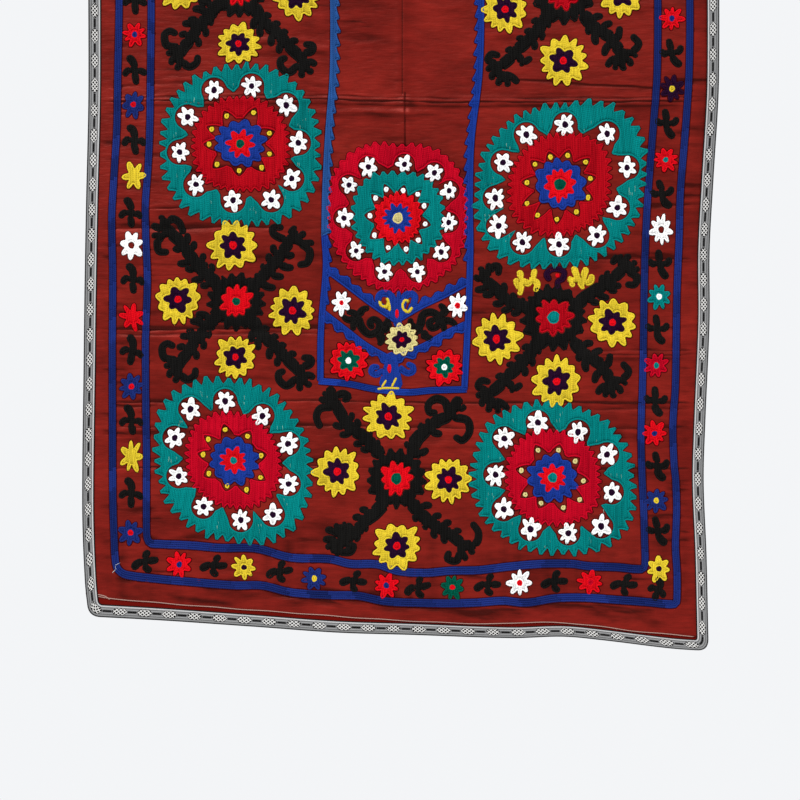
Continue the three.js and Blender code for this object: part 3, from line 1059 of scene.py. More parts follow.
def wheel(work, w, flower_size=POCKET_FLOWER["size"]):
    """Rings from the outside in: toothed rim with pocket flowers, jagged field with dots, star and heart."""
    centre = (w.x, w.y)
    size = (w.size[0] + w.size[1]) / 2
    stretch = (w.size[0] / size, w.size[1] / size)
    pocket_edge = bays(centre, w.flowers, round_bay(w.pocket, w.claw))
    motif(work, saw(centre, w.teeth, size - w.depth, size, stretch, w.corners), w.rim, bare=[pocket_edge])
    dot_edge = bays(centre, w.dots, wedge_bay(DOT_REACH, DOT_BAY_HALF, w.star_size[0]), samples=180)
    bulges = FIELD_FOLLOWS * np.array(w.corners)
    motif(work, saw(centre, w.field_teeth, *w.field_size, corners=bulges), w.field, bare=[dot_edge])
    for degrees, distance in w.dots:
        at = polar(centre, np.radians([degrees]), np.array([distance]))[0]
        motif(work, dot(at, DOT_RADIUS, 9), w.dot_colour)
    heart = petals(centre, w.heart[1], *w.heart_size, blunt=0.8)
    work.level = STAR_LEVEL
    motif(work, petals(centre, w.star[1], *w.star_size, blunt=0.6), w.star[0], holes=[heart])
    middle = dot(centre, w.centre[1], 14)
    motif(work, heart, w.heart[0], holes=[middle], edge=False)
    motif(work, middle, w.centre[0], edge=False)
    work.level = POCKET_LEVEL
    for degrees, distance in w.flowers:
        at = polar(centre, np.radians([degrees]), np.array([distance]))[0]
        size = flower_size * rng.uniform(0.95, 1.06)
        petal_count = int(rng.choice([6, 6, 6, 7]))
        tip, notch, middle = (POCKET_FLOWER[key] * size for key in ("tip", "notch", "dot"))
        tall, uneven_by = POCKET_FLOWER["tall"], POCKET_FLOWER["uneven"]
        flower(work, at, "white", "purple", petal_count, tip, notch, middle, tall, uneven_by)
    work.level = 0.0


def glints(work, w):
    """Painted highlights: short rows of pale thread in the claws of the rim, where the light glints."""
    turns, rings = np.array(w.flowers, float).T
    gaps = (np.roll(turns, -1) - turns) % 360
    for k in rng.integers(0, len(turns), GLINTS):
        angle = math.radians(turns[k] + gaps[k] * rng.uniform(0.42, 0.58))
        at = polar((w.x, w.y), np.array([angle]), np.array([rings[k] + rng.uniform(-1, 11)]))[0]
        work.row([at, at + (0.2, rng.uniform(2, 4.5))], "pale", GLINT_WIDTH, GLINT_HEIGHT)


# Yellow wheels round each black cross, as shares of their size
SUN_STAR, SUN_EYE, SUN_RIM, SUN_LEVEL = (0.56, 0.35), 0.15, (0.98, 0.74), 0.7


def sunflower(work, centre, size, colour="yellow", heart="purple", middle="red"):
    """A petalled rim, a star and an eye. It lies over whatever is stitched below it."""
    work.level = SUN_LEVEL
    star = petals(centre, int(rng.choice([6, 7, 7])), SUN_STAR[0] * size, SUN_STAR[1] * size, blunt=0.6)
    eye = dot(centre, SUN_EYE * size)
    rim = petals(centre, int(rng.choice([12, 13, 13])), SUN_RIM[0] * size, SUN_RIM[1] * size, blunt=0.7)
    motif(work, rim, colour, holes=[star])
    motif(work, star, heart, holes=[eye], edge=False)
    motif(work, eye, middle, edge=False)
    work.level = 0.0


# Crosses: a red flower in a jagged black ring, with four leafy vines. A vine has its stem from the ring
# outwards, the tips of its leaves, and the hooks that curl from its end.
Cross = namedtuple("Cross", "x y heart centre ring vines flowers")
Vine = namedtuple("Vine", "stem leaves hooks")
LEFT_VINES = [
    Vine(
        [(219, 287), (212, 279), (200, 268), (190, 255), (182, 243), (171, 233), (164, 223)],
        [
            (161, 217), (153, 226), (153, 236), (188, 235), (195, 243), (204, 255), (205, 263), (212, 265),
            (175, 249), (179, 264), (187, 269), (193, 281), (202, 286),
        ],
        [[(166, 225), (172, 219), (179, 222), (183, 231)], [(166, 233), (158, 241), (159, 251), (166, 252)]],
    ),
    Vine(
        [(251, 289), (258, 281), (266, 272), (274, 263), (282, 252), (289, 241), (294, 234)],
        [
            (294, 227), (304, 233), (313, 243), (292, 255), (292, 268), (282, 277), (274, 288), (272, 246),
            (268, 255), (263, 265), (257, 274),
        ],
        [
            [(287, 240), (279, 237), (273, 233), (273, 227), (280, 227)],
            [(298, 241), (309, 250), (307, 262), (300, 264)],
        ],
    ),
    Vine(
        [(220, 312), (210, 323), (203, 332), (194, 341), (188, 351), (180, 361), (175, 371)],
        [
            (197, 313), (191, 320), (187, 331), (181, 335), (178, 346), (213, 325), (208, 336), (204, 347),
            (197, 357), (165, 365), (168, 375), (175, 381),
        ],
        [
            [(175, 360), (164, 357), (162, 347), (167, 343), (172, 345)],
            [(179, 374), (187, 379), (194, 375), (195, 370)],
        ],
    ),
    Vine(
        [(252, 320), (260, 333), (271, 342), (281, 352), (290, 362), (300, 372), (303, 380)],
        [
            (267, 328), (276, 336), (284, 345), (294, 353), (250, 340), (257, 348), (268, 357), (276, 364),
            (313, 376), (309, 385), (299, 389),
        ],
        [
            [(303, 366), (310, 363), (310, 358), (304, 357)],
            [(295, 379), (286, 385), (279, 380), (278, 373), (282, 371)],
        ],
    ),
]
RIGHT_VINES = [
    Vine(
        [(530, 309), (519, 304), (506, 299), (496, 289), (486, 280), (483, 273)],
        [
            (489, 264), (480, 268), (475, 277), (476, 290), (484, 295), (494, 304), (503, 311), (513, 314),
            (504, 284), (512, 294), (521, 299),
        ],
        [[(486, 274), (493, 266), (498, 266), (498, 272)]],
    ),
    Vine(
        [(575, 305), (586, 296), (597, 289), (608, 281), (618, 273), (627, 264)],
        [
            (628, 255), (619, 255), (635, 262), (638, 269), (602, 276), (607, 272), (619, 286), (615, 291),
            (607, 298), (597, 303),
        ],
        [[(622, 263), (617, 257), (613, 261)], [(629, 271), (637, 277), (634, 284), (628, 284)]],
    ),
    Vine(
        [(536, 343), (528, 355), (519, 365), (508, 375), (498, 386), (487, 396), (495, 404)],
        [
            (523, 347), (516, 357), (508, 364), (497, 376), (538, 352), (532, 364), (525, 374), (513, 391),
            (477, 395), (481, 404), (488, 410), (498, 411), (508, 408),
        ],
        [[(488, 391), (478, 386), (481, 380), (487, 381)], [(505, 379), (513, 388), (519, 385)]],
    ),
    Vine(
        [(575, 343), (585, 355), (596, 361), (603, 369), (610, 380), (611, 388)],
        [
            (591, 342), (600, 349), (578, 359), (585, 370), (593, 381), (604, 395), (613, 396), (621, 391),
            (626, 382), (596, 392),
        ],
        [[(600, 364), (607, 364), (609, 356)], [(612, 381), (621, 379), (628, 371), (623, 364)]],
    ),
]
LOWER_VINES = [
    Vine(
        [(378, 452), (366, 438), (356, 431), (347, 424), (341, 414), (334, 402), (330, 391)],
        [
            (320, 399), (324, 393), (334, 425), (352, 414), (357, 420), (341, 435), (355, 444), (362, 449),
            (369, 432), (377, 441),
        ],
        [[(334, 396), (343, 393), (348, 396), (345, 399)], [(333, 406), (320, 408), (316, 416), (319, 425)]],
    ),
    Vine(
        [(412, 452), (415, 441), (425, 430), (438, 420), (447, 416), (453, 408), (457, 401)],
        [
            (458, 399), (464, 407), (440, 434), (421, 424), (428, 420), (419, 455), (427, 450), (406, 443),
        ],
        [
            [(448, 413), (445, 402), (436, 398), (428, 404), (429, 412), (434, 412)],
            [(455, 417), (467, 420), (469, 431), (462, 440), (456, 437)],
        ],
    ),
    Vine(
        [(382, 504), (374, 513), (365, 520), (356, 531), (343, 540), (335, 549)],
        [
            (361, 508), (354, 516), (345, 524), (365, 529), (356, 539), (335, 524), (326, 528), (324, 538),
            (327, 546), (337, 554),
        ],
        [[(340, 551), (350, 551), (353, 545), (348, 545)], [(348, 536), (340, 530), (344, 524)]],
    ),
    Vine(
        [(412, 503), (422, 515), (432, 523), (442, 529), (453, 536), (464, 546)],
        [
            (430, 504), (439, 514), (449, 521), (459, 530), (415, 519), (425, 527), (434, 536), (444, 541),
            (465, 559), (473, 552), (475, 546),
        ],
        [[(465, 546), (476, 542), (478, 532), (473, 524)], [(461, 549), (456, 560), (447, 558), (448, 553)]],
    ),
]
CROSSES = [
    Cross(
        236, 301, ("red", 16.5), ("green", 4), (24, 29.5), LEFT_VINES,
        [(233, 245, 25.5), (178, 299, 24.5), (292, 310, 24.5), (235, 356.5, 22)],
    ),
    Cross(
        553, 317, ("scarlet", 19), ("teal", 6.3), (28, 34), RIGHT_VINES,
        [(612, 322, 25), (496, 338.5, 25), (556, 381, 26)],
    ),
    Cross(
        396, 478, ("red", 17), ("green", 5.5), (25, 30.5), LOWER_VINES,
        [(388, 416, 25), (337, 471, 25), (448, 479, 23.5), (396.5, 545, 25)],
    ),
]
UNSEEN_CROSSES = [
    (CROSSES[0], 2, -313, [(236, -68, 24), (180, -14, 24), (296, -4, 24), (238, 43, 22)]),
    (CROSSES[1], 10, -327, [(563, -66, 24), (621, -6, 24), (505, 8, 24), (563, 60, 25)]),
    (CROSSES[2], 2, -630, [(398, -212, 23), (340, -158, 24), (452, -150, 23), (398, -88, 24)]),
]


def moved(c, dx, dy, flowers):
    """A cross set down elsewhere, with flowers of its own."""

    def shift(points):
        return [(x + dx, y + dy) for x, y in points]

    vines = [Vine(shift(v.stem), shift(v.leaves), [shift(h) for h in v.hooks]) for v in c.vines]
    return c._replace(x=c.x + dx, y=c.y + dy, vines=vines, flowers=flowers)


STEM_WIDTH, LEAF_WIDTH, HOOK_WIDTH = (14, 11), (10, 6.6), (8.4, 6.4)
LEAF_BOW, LEAF_BEND, LEAF_END = 0.2, 0.55, 0.88
RING_TEETH, HEART_PETALS, HEART_NOTCH = 17, 10, 0.7
SCROLL_LEAF_WIDTH, SCROLL_LEAF_TAPER = 7.6, 0.72


def leaf(base, heading, size, curl):
    """A short curled leaf: its heading turns by curl over its length."""
    steps = max(4, round(size / 2))
    headings = heading + curl * np.linspace(0, 1, steps)
    moves = size / steps * np.column_stack([np.sin(headings), -np.cos(headings)])
    path = np.concatenate([[base], base + np.cumsum(moves, axis=0)])
    return stroke(path, SCROLL_LEAF_WIDTH, SCROLL_LEAF_TAPER * SCROLL_LEAF_WIDTH)


def vine_shapes(vine):
    """A stem with leaves, each of which springs from a little way back along the stem, and its hooks."""
    stem = curve(vine.stem)
    shapes = [stroke(stem, *STEM_WIDTH)]
    for tip in np.array(vine.leaves, float):
        reach = np.hypot(*(stem - tip).T)
        base = stem[max(0, reach.argmin() - 2)]
        run = tip - base
        bow = np.array([-run[1], run[0]]) * LEAF_BOW
        ahead = stem[-1] - stem[0]
        bow *= -np.sign(bow @ ahead)
        t = np.linspace(0, 1, 6)[:, None]
        bend, end = base + LEAF_BEND * run + bow, base + LEAF_END * run
        path = (1 - t) ** 2 * base + 2 * t * (1 - t) * bend + t * t * end
        shapes.append(stroke(path, *LEAF_WIDTH))
    return shapes + [stroke(curve(h, 1.8), *HOOK_WIDTH) for h in vine.hooks]


def joined_motif(work, shapes, colour, holes=()):
    """Overlapping shapes stitched as one, with rows only on the outline of the whole."""
    for i, shape in enumerate(shapes):
        others = [inset(s, JOINED_OVERLAP) for k, s in enumerate(shapes) if k != i]
        outline(work, shape, colour, hidden_by=others, tint=JOINED_TINT)
    inner, cut = [inset(s, JOINED_INSET) for s in shapes], [inset(h, -FILL_INSET) for h in holes]
    fill(work, inner, colour, cut, rng.uniform(-0.1, 0.1))


def cross(work, c):
    """The ring and its vines as one black shape, with the red flower in the middle."""
    centre = (c.x, c.y)
    colour, size = c.heart
    red = petals(centre, HEART_PETALS, size, HEART_NOTCH * size, blunt=0.75)
    halo = saw(centre, RING_TEETH, *c.ring)
    vines = [shape for v in c.vines for shape in vine_shapes(v)]
    joined_motif(work, [halo, *vines], "black", holes=[red])
    middle = dot(centre, c.centre[1])
    motif(work, red, colour, holes=[middle], edge=False)
    motif(work, middle, c.centre[0], edge=False)


# Border flowers and black sprigs. Those that the photograph cuts off follow at an even pitch.
Bloom = namedtuple("Bloom", "x y colour heart count tall", defaults=(1.0,))
BLOOMS = [
    Bloom(133, 104, "blue", "red", 7, 1.1),
    Bloom(134, 176, "yellow", "yellow", 6, 1.22),
    Bloom(131.5, 245, "white", None, 7, 1.25),
    Bloom(132, 316.5, "red", "red", 7, 1.1),
    Bloom(131, 386, "blue", "red", 8, 1.1),
    Bloom(131, 456, "yellow", "yellow", 7, 1.28),
    Bloom(130.4, 532, "blue", "red", 7),
    Bloom(179, 564, "red", "blue", 8),
    Bloom(243.5, 567, "yellow", "purple", 8),
    Bloom(314, 578, "blue", "yellow", 8),
    Bloom(386, 584.5, "red", "blue", 8),
    Bloom(452, 586.5, "green", "red", 8),
    Bloom(519.5, 582.6, "white", "red", 8),
    Bloom(590.5, 582, "red", "crimson", 8),
    Bloom(659, 568.5, "yellow", "purple", 7, 1.12),
    Bloom(656, 500, "blue", "yellow", 8),
    Bloom(654, 433, "red", "blue", 8),
    Bloom(656, 365, "crimson", "teal", 8),
    Bloom(659, 296, "teal", "white", 8),
    Bloom(661, 229, "white", None, 9, 1.2),
    Bloom(665, 159.5, "red", "teal", 9),
    Bloom(671, 89, "purple", "yellow", 8),
]
SPRIGS_LEFT = [(134, 139), (131, 212), (133, 278), (132, 349.5), (131, 419), (131, 492)]
SPRIGS_BELOW = [
    (144.5, 561), (213, 565), (279, 571), (353, 580), (417, 586.5), (487, 584), (554, 581), (624, 584),
]
SPRIGS_RIGHT = [(666, 124), (662, 194), (660, 264), (657, 329), (655, 401), (657, 466), (658, 531)]
LAST_SPRIG = (658, 589)
UNSEEN_PITCH = 35.2
UNSEEN_COLOURS = [
    ("yellow", "purple"), ("red", "blue"), ("white", "red"), ("blue", "yellow"), ("teal", "white"),
]
TOP_ROW_Y = -263
SPRIG_ROWS = [(SPRIGS_LEFT, 0.0, 1.0), (SPRIGS_BELOW, -1.57, 0.88), (SPRIGS_RIGHT, 3.05, 1.0)]
SPRIG_STEM_WIDTH, SPRIG_LEAF_WIDTH = (6.6, 7.6), (6.8, 6.2)
BLOOM_SIZE, BLOOM_DOT, BLOOM_BARE = (12.8, 7.2), 2.8, 3.2
PLAIN_BLOOM_SIZE, UNSEEN_SIZE = (13, 6.0), (12.6, 6.4)


def sprig(work, centre, turn, size=1.0):
    """A black sprig: a bent stem with a leaf on each side."""
    centre = np.asarray(centre, float)

    def placed(points):
        return turned(centre + size * np.array(points, float), turn, centre)

    jog = rng.uniform(-0.8, 0.8, 4)
    bent = placed([(0.5 + jog[0], 12), (0, 6), (0.5, -1), (-1 + jog[1], -8.5), (-3.5, -11.5)])
    stem = stroke(curve(bent), *SPRIG_STEM_WIDTH)
    left = stroke(curve(placed([(0, 2), (-4, 0), (-8, 0.5 + jog[2]), (-9.5, 3)])), *SPRIG_LEAF_WIDTH)
    right = stroke(curve(placed([(0, 2), (4.5, 1.5), (7.5, 2 + jog[3]), (9.2, 4)])), *SPRIG_LEAF_WIDTH)
    joined_motif(work, [stem, left, right], "black")


# Blue bars of the border, as the line along the middle of each
BAR_WIDTH = 7.4
LEVEL_BAR_MORE = 1.3
BAR_ROWS = 4
BAR_LAP = 3
BAR_STEP = 3.5
INNER_BAR = [
    (150, -238), (149, -120), (150.5, 0), (150, 73), (149.6, 126), (148, 168), (145.6, 203), (145.8, 231),
    (147.5, 280), (145.3, 336), (145.3, 406), (146, 448), (146.2, 522), (147, 538), (150, 542.5),
    (157, 543.3), (192, 545), (220, 547.5), (255, 548), (290, 557), (330, 558.5), (350, 563), (377, 563.5),
    (397, 570), (424, 572), (451, 570), (478, 569.6), (510, 566), (541, 563.5), (572, 563.5), (587, 565.7),
    (618, 567), (636, 568.8), (643.5, 568), (645, 561), (644.5, 541), (643.5, 510), (641.5, 472),
    (640.5, 433), (642, 383), (643.5, 318), (644.3, 275), (646, 223), (647.7, 192), (651, 146),
    (653.3, 116), (656.2, 73), (657, 0), (655, -120), (656, -240), (646, -249), (540, -247), (400, -250),
    (260, -247), (160, -248), (150, -238),
]
OUTER_BAR = [
    (118, -266), (118, -120), (118.5, 0), (117.2, 73), (116.5, 126), (113.5, 182), (111.8, 217),
    (112.7, 273), (112, 350), (112, 420), (112.7, 500), (114, 536), (115, 556), (117, 567), (123, 573),
    (134, 575.5), (150, 577.5), (192, 581.5), (234, 585), (262, 585.3), (290, 592), (330, 594.6),
    (357, 595), (384, 600.3), (410, 601.8), (451, 602.7), (478, 602), (503, 600.5), (526, 602.5),
    (556, 598), (587, 597.6), (618, 599.8), (648, 602), (670, 604), (676, 603), (677, 596), (677, 572),
    (675.5, 546), (676.5, 510), (675.5, 480), (673.8, 464), (672.5, 425), (675, 387), (676, 341),
    (677, 290), (679, 238), (680, 192), (683.3, 146), (685.5, 116), (688, 73), (689, 0), (687, -120),
    (688, -267), (677, -277), (540, -276), (400, -279), (260, -276), (129, -278), (118, -266),
]
PATCH = 21


def bar(work, points, width=BAR_WIDTH, colour="blue"):
    """Rows of thread along a bar, whose tint changes with each needleful."""
    path = curve(points, BAR_STEP)
    across = normals(path)
    widths = width + LEVEL_BAR_MORE * across[:, 1:] ** 2
    # A low dark row of painted shade along each side of the bar
    for side in (-1, 1):
        work.row(path + side * across * (widths / 2 + 0.1), "edge", SHADE_ROW_WIDTH, SHADE_ROW_HEIGHT)
    cuts = np.arange(PATCH, POINT * len(path), PATCH) * len(path) / max(1, round(BAR_STEP * len(path)))
    cuts = (cuts + rng.uniform(-1.5, 1.5, len(cuts))).astype(int)
    cuts = cuts[(cuts > 1) & (cuts < len(path) - 2)]
    patch_tints = rng.uniform(-1.3, 1.2, len(cuts) + 1)
    for k in range(BAR_ROWS):
        offset = (k + 0.5) / BAR_ROWS - 0.5
        line = path + across * offset * (widths - 0.6)
        for part, patch in zip(np.split(np.arange(len(line)), cuts + rng.integers(0, 2)), patch_tints):
            span = slice(part[0], part[-1] + BAR_LAP)
            tint = patch + rng.uniform(-0.4, 0.4)
            work.row(line[span], colour, width * POINT / BAR_ROWS + 2.0, tint=tint)


# The niche: a blue frame with teeth inside, two toothed V bars, horns, scrolls and flowers
NICHE_UPPER_LEFT = [(331, -60), (333, 0), (332.5, 73), (328, 133), (325, 190), (324, 236)]
NICHE_LOWER_LEFT = [(324, 234), (325.5, 266), (320.5, 329), (320, 380)]
NICHE_RIGHT = [
    (479, -60), (481, 0), (479, 73), (471, 140), (469.4, 196), (469.9, 252), (467.6, 322), (464, 389),
]
NICHE_SIDES = [
    (NICHE_UPPER_LEFT, "steel", -1, 22, 236),
    (NICHE_LOWER_LEFT, "royal", -1, 5, 304),
    (NICHE_RIGHT, "royal", 1, 25, 262),
]
NICHE_SIDE_WIDTH, NICHE_TOOTH = 6.0, 3.8
NICHE_BELOW = [(318, 380.5), (346, 383), (374, 388.5), (406, 391.8), (432, 389.8), (466.5, 388.8)]
NICHE_ABOVE = [(329, -60), (400, -63), (482, -60)]
UPPER_V = [[(326, 269), (345, 283), (370, 302), (396, 320)], [(396, 320), (420, 306), (445, 294), (469, 281)]]
LOWER_V = [[(323, 312), (345, 329), (366, 345), (391, 359)], [(391, 359), (424, 345), (445, 333), (466, 323)]]
HORNS = [
    [(396, 318), (393.5, 305), (391, 296), (385.5, 292.5), (379.5, 294), (377.5, 299)],
    [(399, 318), (401.5, 305), (404.5, 296), (410, 293), (414.5, 296), (413.5, 303)],
]
YELLOW_CURLS = [
    [(378.5, 300), (381, 304.5), (386, 306), (388.3, 301), (386.5, 297)],
    [(388.3, 301), (389.5, 306), (389, 310.5)],
    [(412, 306.5), (408, 311), (403.5, 309), (402.5, 303), (405, 299.3), (408.5, 301)],
]
FEET = [
    [(382, 371), (375.5, 374), (371, 371.5), (372.5, 366.5), (376.5, 366.5)],
    [(400, 368), (407, 372.5), (412.5, 371), (412.5, 366), (408.5, 364)],
]
SCROLLS = [
    [
        (358, 319), (362, 328), (369, 333.5), (377.5, 330), (378.5, 322), (373, 318.5), (369, 322),
        (371, 325.5),
    ],
    [
        (420, 324), (423, 314), (431, 311.5), (438, 316), (437.5, 325), (431, 327.5), (428.5, 322),
        (432, 319.5),
    ],
]
SCROLL_LEAVES = [
    ((357, 316), -0.6, 10, -0.9), ((352, 319), -1.7, 9, 0.8), ((360, 312), 0.5, 8, 0.9),
    ((355, 321), -2.4, 7, -0.8), ((377, 333), 2.4, 9, 0.8), ((384, 329), 1.2, 7, -0.8),
    ((381, 336), 2.9, 7, 0.9), ((385, 324), 0.8, 6, -0.7), ((441, 316), 0.3, 9, 0.9),
    ((446, 320), 1.6, 10, 0.8), ((444, 312), 0.0, 8, -0.9), ((440, 322), 2.2, 8, 0.9),
    ((419, 328), -2.5, 9, 0.8), ((424, 333), 2.6, 8, -0.8), ((413, 326), -0.9, 7, 0.9),
    ((424, 335), 1.9, 6, 0.7),
]


# Its widths, each from begin to end where it tapers, and the drops and short yellow rows of the vase
NICHE_LEVEL_WIDTH = 5.8
V_BAR = {"width": 5.6, "teeth": 6, "tooth": 4.8}
CANDLE, CANDLE_WIDTH, CANDLE_LEVEL = [(397.5, 322), (398, 305), (398.5, 292)], (9, 3), 0.5
VASE, VASE_WIDTH = [(391, 357), (391, 370), (390.5, 383)], (11, 23)
HORN_WIDTH, FOOT_WIDTH, SCROLL_WIDTH = (8.4, 6.0), (6.6, 5.2), (8.2, 6.0)
CURL_ROW, BASE_ROW = (10.5, 3.0), (8.0, 2.6)
RED_DROPS, DROP_HALF, DROP_LEVEL = [(396.6, 313, 5.0), (389, 368, 4.5)], 1.9, 0.8
BASE_LINES = [
    [(377, 388.5), (384, 387.5), (399, 387.8)],
    [(381, 387), (386, 379.5)],
    [(391, 387), (396, 377)],
]


def niche(work):
    """The frame, the V bars, the vase and its scrolls, and the flowers that hang beside them."""
    for points, colour, side, teeth, teeth_end in NICHE_SIDES:
        path = curve(points, 3.0)
        share = np.mean(path[:, 1] < teeth_end)
        frame_side = toothed(path, NICHE_SIDE_WIDTH, teeth, NICHE_TOOTH, side, share, LEAF_TOOTH)
        motif(work, frame_side, colour, lean=0.0)
    for points in (NICHE_BELOW, NICHE_ABOVE):
        bar(work, points, NICHE_LEVEL_WIDTH, "royal")
    for arms, side in ((UPPER_V, 1), (LOWER_V, -1)):
        for points in arms:
            path = curve(points, 2.5)
            shape = toothed(path, V_BAR["width"], V_BAR["teeth"], V_BAR["tooth"], -side)
            motif(work, shape, "royal", lean=0.0)
    work.level = CANDLE_LEVEL
    candle = stroke(curve(CANDLE), *CANDLE_WIDTH)
    joined_motif(work, [candle] + [stroke(curve(h, 1.5), *HORN_WIDTH) for h in HORNS], "royal")
    work.level = 0.0
    vase = stroke(curve(VASE), *VASE_WIDTH)
    joined_motif(work, [vase] + [stroke(curve(f, 1.5), *FOOT_WIDTH) for f in FEET], "royal")
    for points in YELLOW_CURLS:
        work.row(curve(points, 1.5), "yellow", *CURL_ROW)
    work.level = DROP_LEVEL
    for x, y, tall in RED_DROPS:
        angles = np.linspace(0, 2 * math.pi, 10, endpoint=False)
        motif(work, polar((x, y), angles, np.ones(10), (DROP_HALF, tall)), "red", edge=False)
    work.level = 0.0
    for points in BASE_LINES:
        work.row(curve(points), "yellow", *BASE_ROW)
    for points in SCROLLS:
        motif(work, stroke(curve(points, 1.6), *SCROLL_WIDTH), "black", edge=False)
    for base, heading, size, curl in SCROLL_LEAVES:
        motif(work, leaf(np.array(base, float), heading, size, curl), "black", edge=False)
    sunflower(work, (401.5, 339), 17.5, "cream", "purple", "red")
    for centre, size in (((348, 360), 20.5), ((444, 366.6), 19)):
        sunflower(work, centre, size, "red", "green", "white")
    work.level = POCKET_LEVEL
    flower(work, (341, 302), "white", "red", count=7, tip=11, notch=5.6, dot_size=2.3, tall=1.22)
    flower(work, (457.2, 305), "white", "red", count=7, tip=10.8, notch=6, dot_size=3, tall=1.18)
    work.level = 0.0


# Two tulips and a hook above the right cross
TULIPS = [
    [
        [(519.5, 273), (521.5, 281), (519.5, 292)], [(516, 281), (519, 288)],
        [(521, 279), (527, 283), (532, 278), (534, 271)], [(531, 279), (537, 283), (535.5, 289)],
    ],
    [
        [(574, 269), (577, 277), (582, 286)], [(585, 270), (583, 277), (582, 285)], [(570, 279), (572, 284)],
        [(570, 280), (578, 279), (581, 281)], [(591, 277), (590, 281), (585, 282), (580, 279)],
    ],
]
HOOK = [
    (548, 278), (546, 274), (550, 269.5), (557, 268.5), (563.5, 271.5), (562, 278.5), (557.5, 281),
    (557, 286),
]
TULIP_WIDTH, PURPLE_HOOK_WIDTH = (6.6, 5.4), (5.4, 4.8)


def tulips(work):
    for strokes in TULIPS:
        shapes = [stroke(curve(s, 1.8), *TULIP_WIDTH) for s in strokes]
        joined_motif(work, shapes, "yellow")
    motif(work, stroke(curve(HOOK, 1.6), *PURPLE_HOOK_WIDTH), "purple")
    motif(work, dot((557, 275), 2.0, 8), "red", edge=False)


def border(work):
    """Flowers and sprigs by turns, first the ones in view and then those further up and across the top."""
    for b in BLOOMS:
        if b.heart == b.colour:
            stretch = (b.tall**-0.35, b.tall)
            motif(work, petals((b.x, b.y), b.count, *PLAIN_BLOOM_SIZE, 0.8, stretch), b.colour)
        else:
            middle = BLOOM_DOT if b.heart else BLOOM_BARE
            flower(work, (b.x, b.y), b.colour, b.heart, b.count, *BLOOM_SIZE, middle, b.tall)
    for centres, turn, size in SPRIG_ROWS:
        for centre in centres:
            sprig(work, centre, turn + rng.uniform(-0.15, 0.15), size)
    sprig(work, LAST_SPRIG, 0.4, 0.75)
    unseen = [((134, 104 - UNSEEN_PITCH * k), k, 0.0) for k in range(1, 10)]
    unseen += [((671, 89 - UNSEEN_PITCH * k), k, 2.9) for k in range(1, 10)]
    unseen += [((152 + UNSEEN_PITCH * k, TOP_ROW_Y), k, 1.5) for k in range(0, 15)]
    for at, k, turn in unseen:
        if k % 2:
            sprig(work, at, turn + rng.uniform(-0.25, 0.25))
        else:
            colour, heart = UNSEEN_COLOURS[k // 2 % len(UNSEEN_COLOURS)]
            flower(work, at, colour, heart, 8, *UNSEEN_SIZE, BLOOM_DOT)


# The satin's grid, with finer rows where slanting lines cross it
GRID = {
    "row": 4.9, "column": 16.6, "hem_rows": 26, "level_end": 2040, "from": -690, "to": 672,
    "fine_from": 897, "fine_to": 943, "fine_row": 2.3,
}
# The deepest groove that counts for painted shade, and the step over which the slope is taken
CENTRE_CLEAR, GROOVE_DEEPEST, TILT_STEP = 10, 1.6, 2.0


def level_rows():
    """The drops of the cloth's rows, and for each row the pressed line that it follows, or 0."""
    lines = sorted({s.at for s in SHARP_LINES if s.slope == 0})
    plain = np.concatenate(
        [
            np.arange(EDGE_INSET, GRID["fine_from"], GRID["row"]),
            np.arange(GRID["fine_from"], GRID["fine_to"], GRID["fine_row"]),
            np.arange(GRID["fine_to"], GRID["level_end"], GRID["row"]),
        ]
    )
    plain = plain[np.abs(plain[:, None] - np.array(lines)).min(axis=1) > LINE_CLEAR]
    levels = np.concatenate([plain, *(at + LINE_ROWS for at in lines)])
    owners = np.concatenate([np.zeros(len(plain)), np.repeat(lines, len(LINE_ROWS))])
    order = np.argsort(levels)
    return levels[order], owners[order]


def satin_cloth():
    """The satin as one sheet, whose rows follow the pressed lines and then spread out to the selvedge."""
    level, line_at = level_rows()
    shares = np.concatenate([np.zeros(len(level)), np.linspace(0, 1, GRID["hem_rows"] + 1)])
    drops = np.concatenate([level, np.full(GRID["hem_rows"] + 1, GRID["level_end"])])
    line_at = np.concatenate([line_at, np.zeros(GRID["hem_rows"] + 1)])
    inner = np.arange(GRID["from"], GRID["to"] + 1, GRID["column"])
    centre = np.concatenate([c.at + LINE_ROWS for c in CENTRE_LINES])
    inner = np.sort(np.concatenate([inner[np.abs(inner - centre.mean()) > CENTRE_CLEAR], centre]))
    depth = np.clip(OUTER_CORNER - (drops - EDGE_INSET), 0, OUTER_CORNER)
    drawn = EDGE_INSET + OUTER_CORNER - np.sqrt(OUTER_CORNER**2 - depth**2)
    left, right = left_edge(drops) + drawn, right_edge(drops) - drawn
    x = np.column_stack([left, np.tile(inner, (len(drops), 1)), right])
    wavered = drops[:, None] + waver(x) * ease((drops[:, None] - FLAT_TOP) / FLAT_TOP)
    on_line = (line_at > 0)[:, None]
    wavered = wavered + on_line * wander(x, line_at[:, None])
    drop = wavered + (selvedge(x) - wavered) * shares[:, None]
    # Attributes for the satin's painted shade: the depth of its grooves, and its slope, above 0 where it
    # faces down
    grooves = np.clip(-pressed(x, drop, drop - waver(x)), 0, GROOVE_DEEPEST).ravel()
    tilt = ((forward(x, drop - TILT_STEP) - forward(x, drop + TILT_STEP)) / (2 * TILT_STEP)).ravel()
    shades = [("pressed", np.tile(grooves, 2)), ("tilt", np.tile(tilt, 2))]
    return sheet("satin_cloth", x, drop, 0.0, CLOTH_THICK, satin_material(), attributes=shades)


STRIP_END_STEPS = np.array([0, 1.5, 4, 8, 14, 20])
STRIP_COLUMNS, STRIP_ROWS = 110, 14


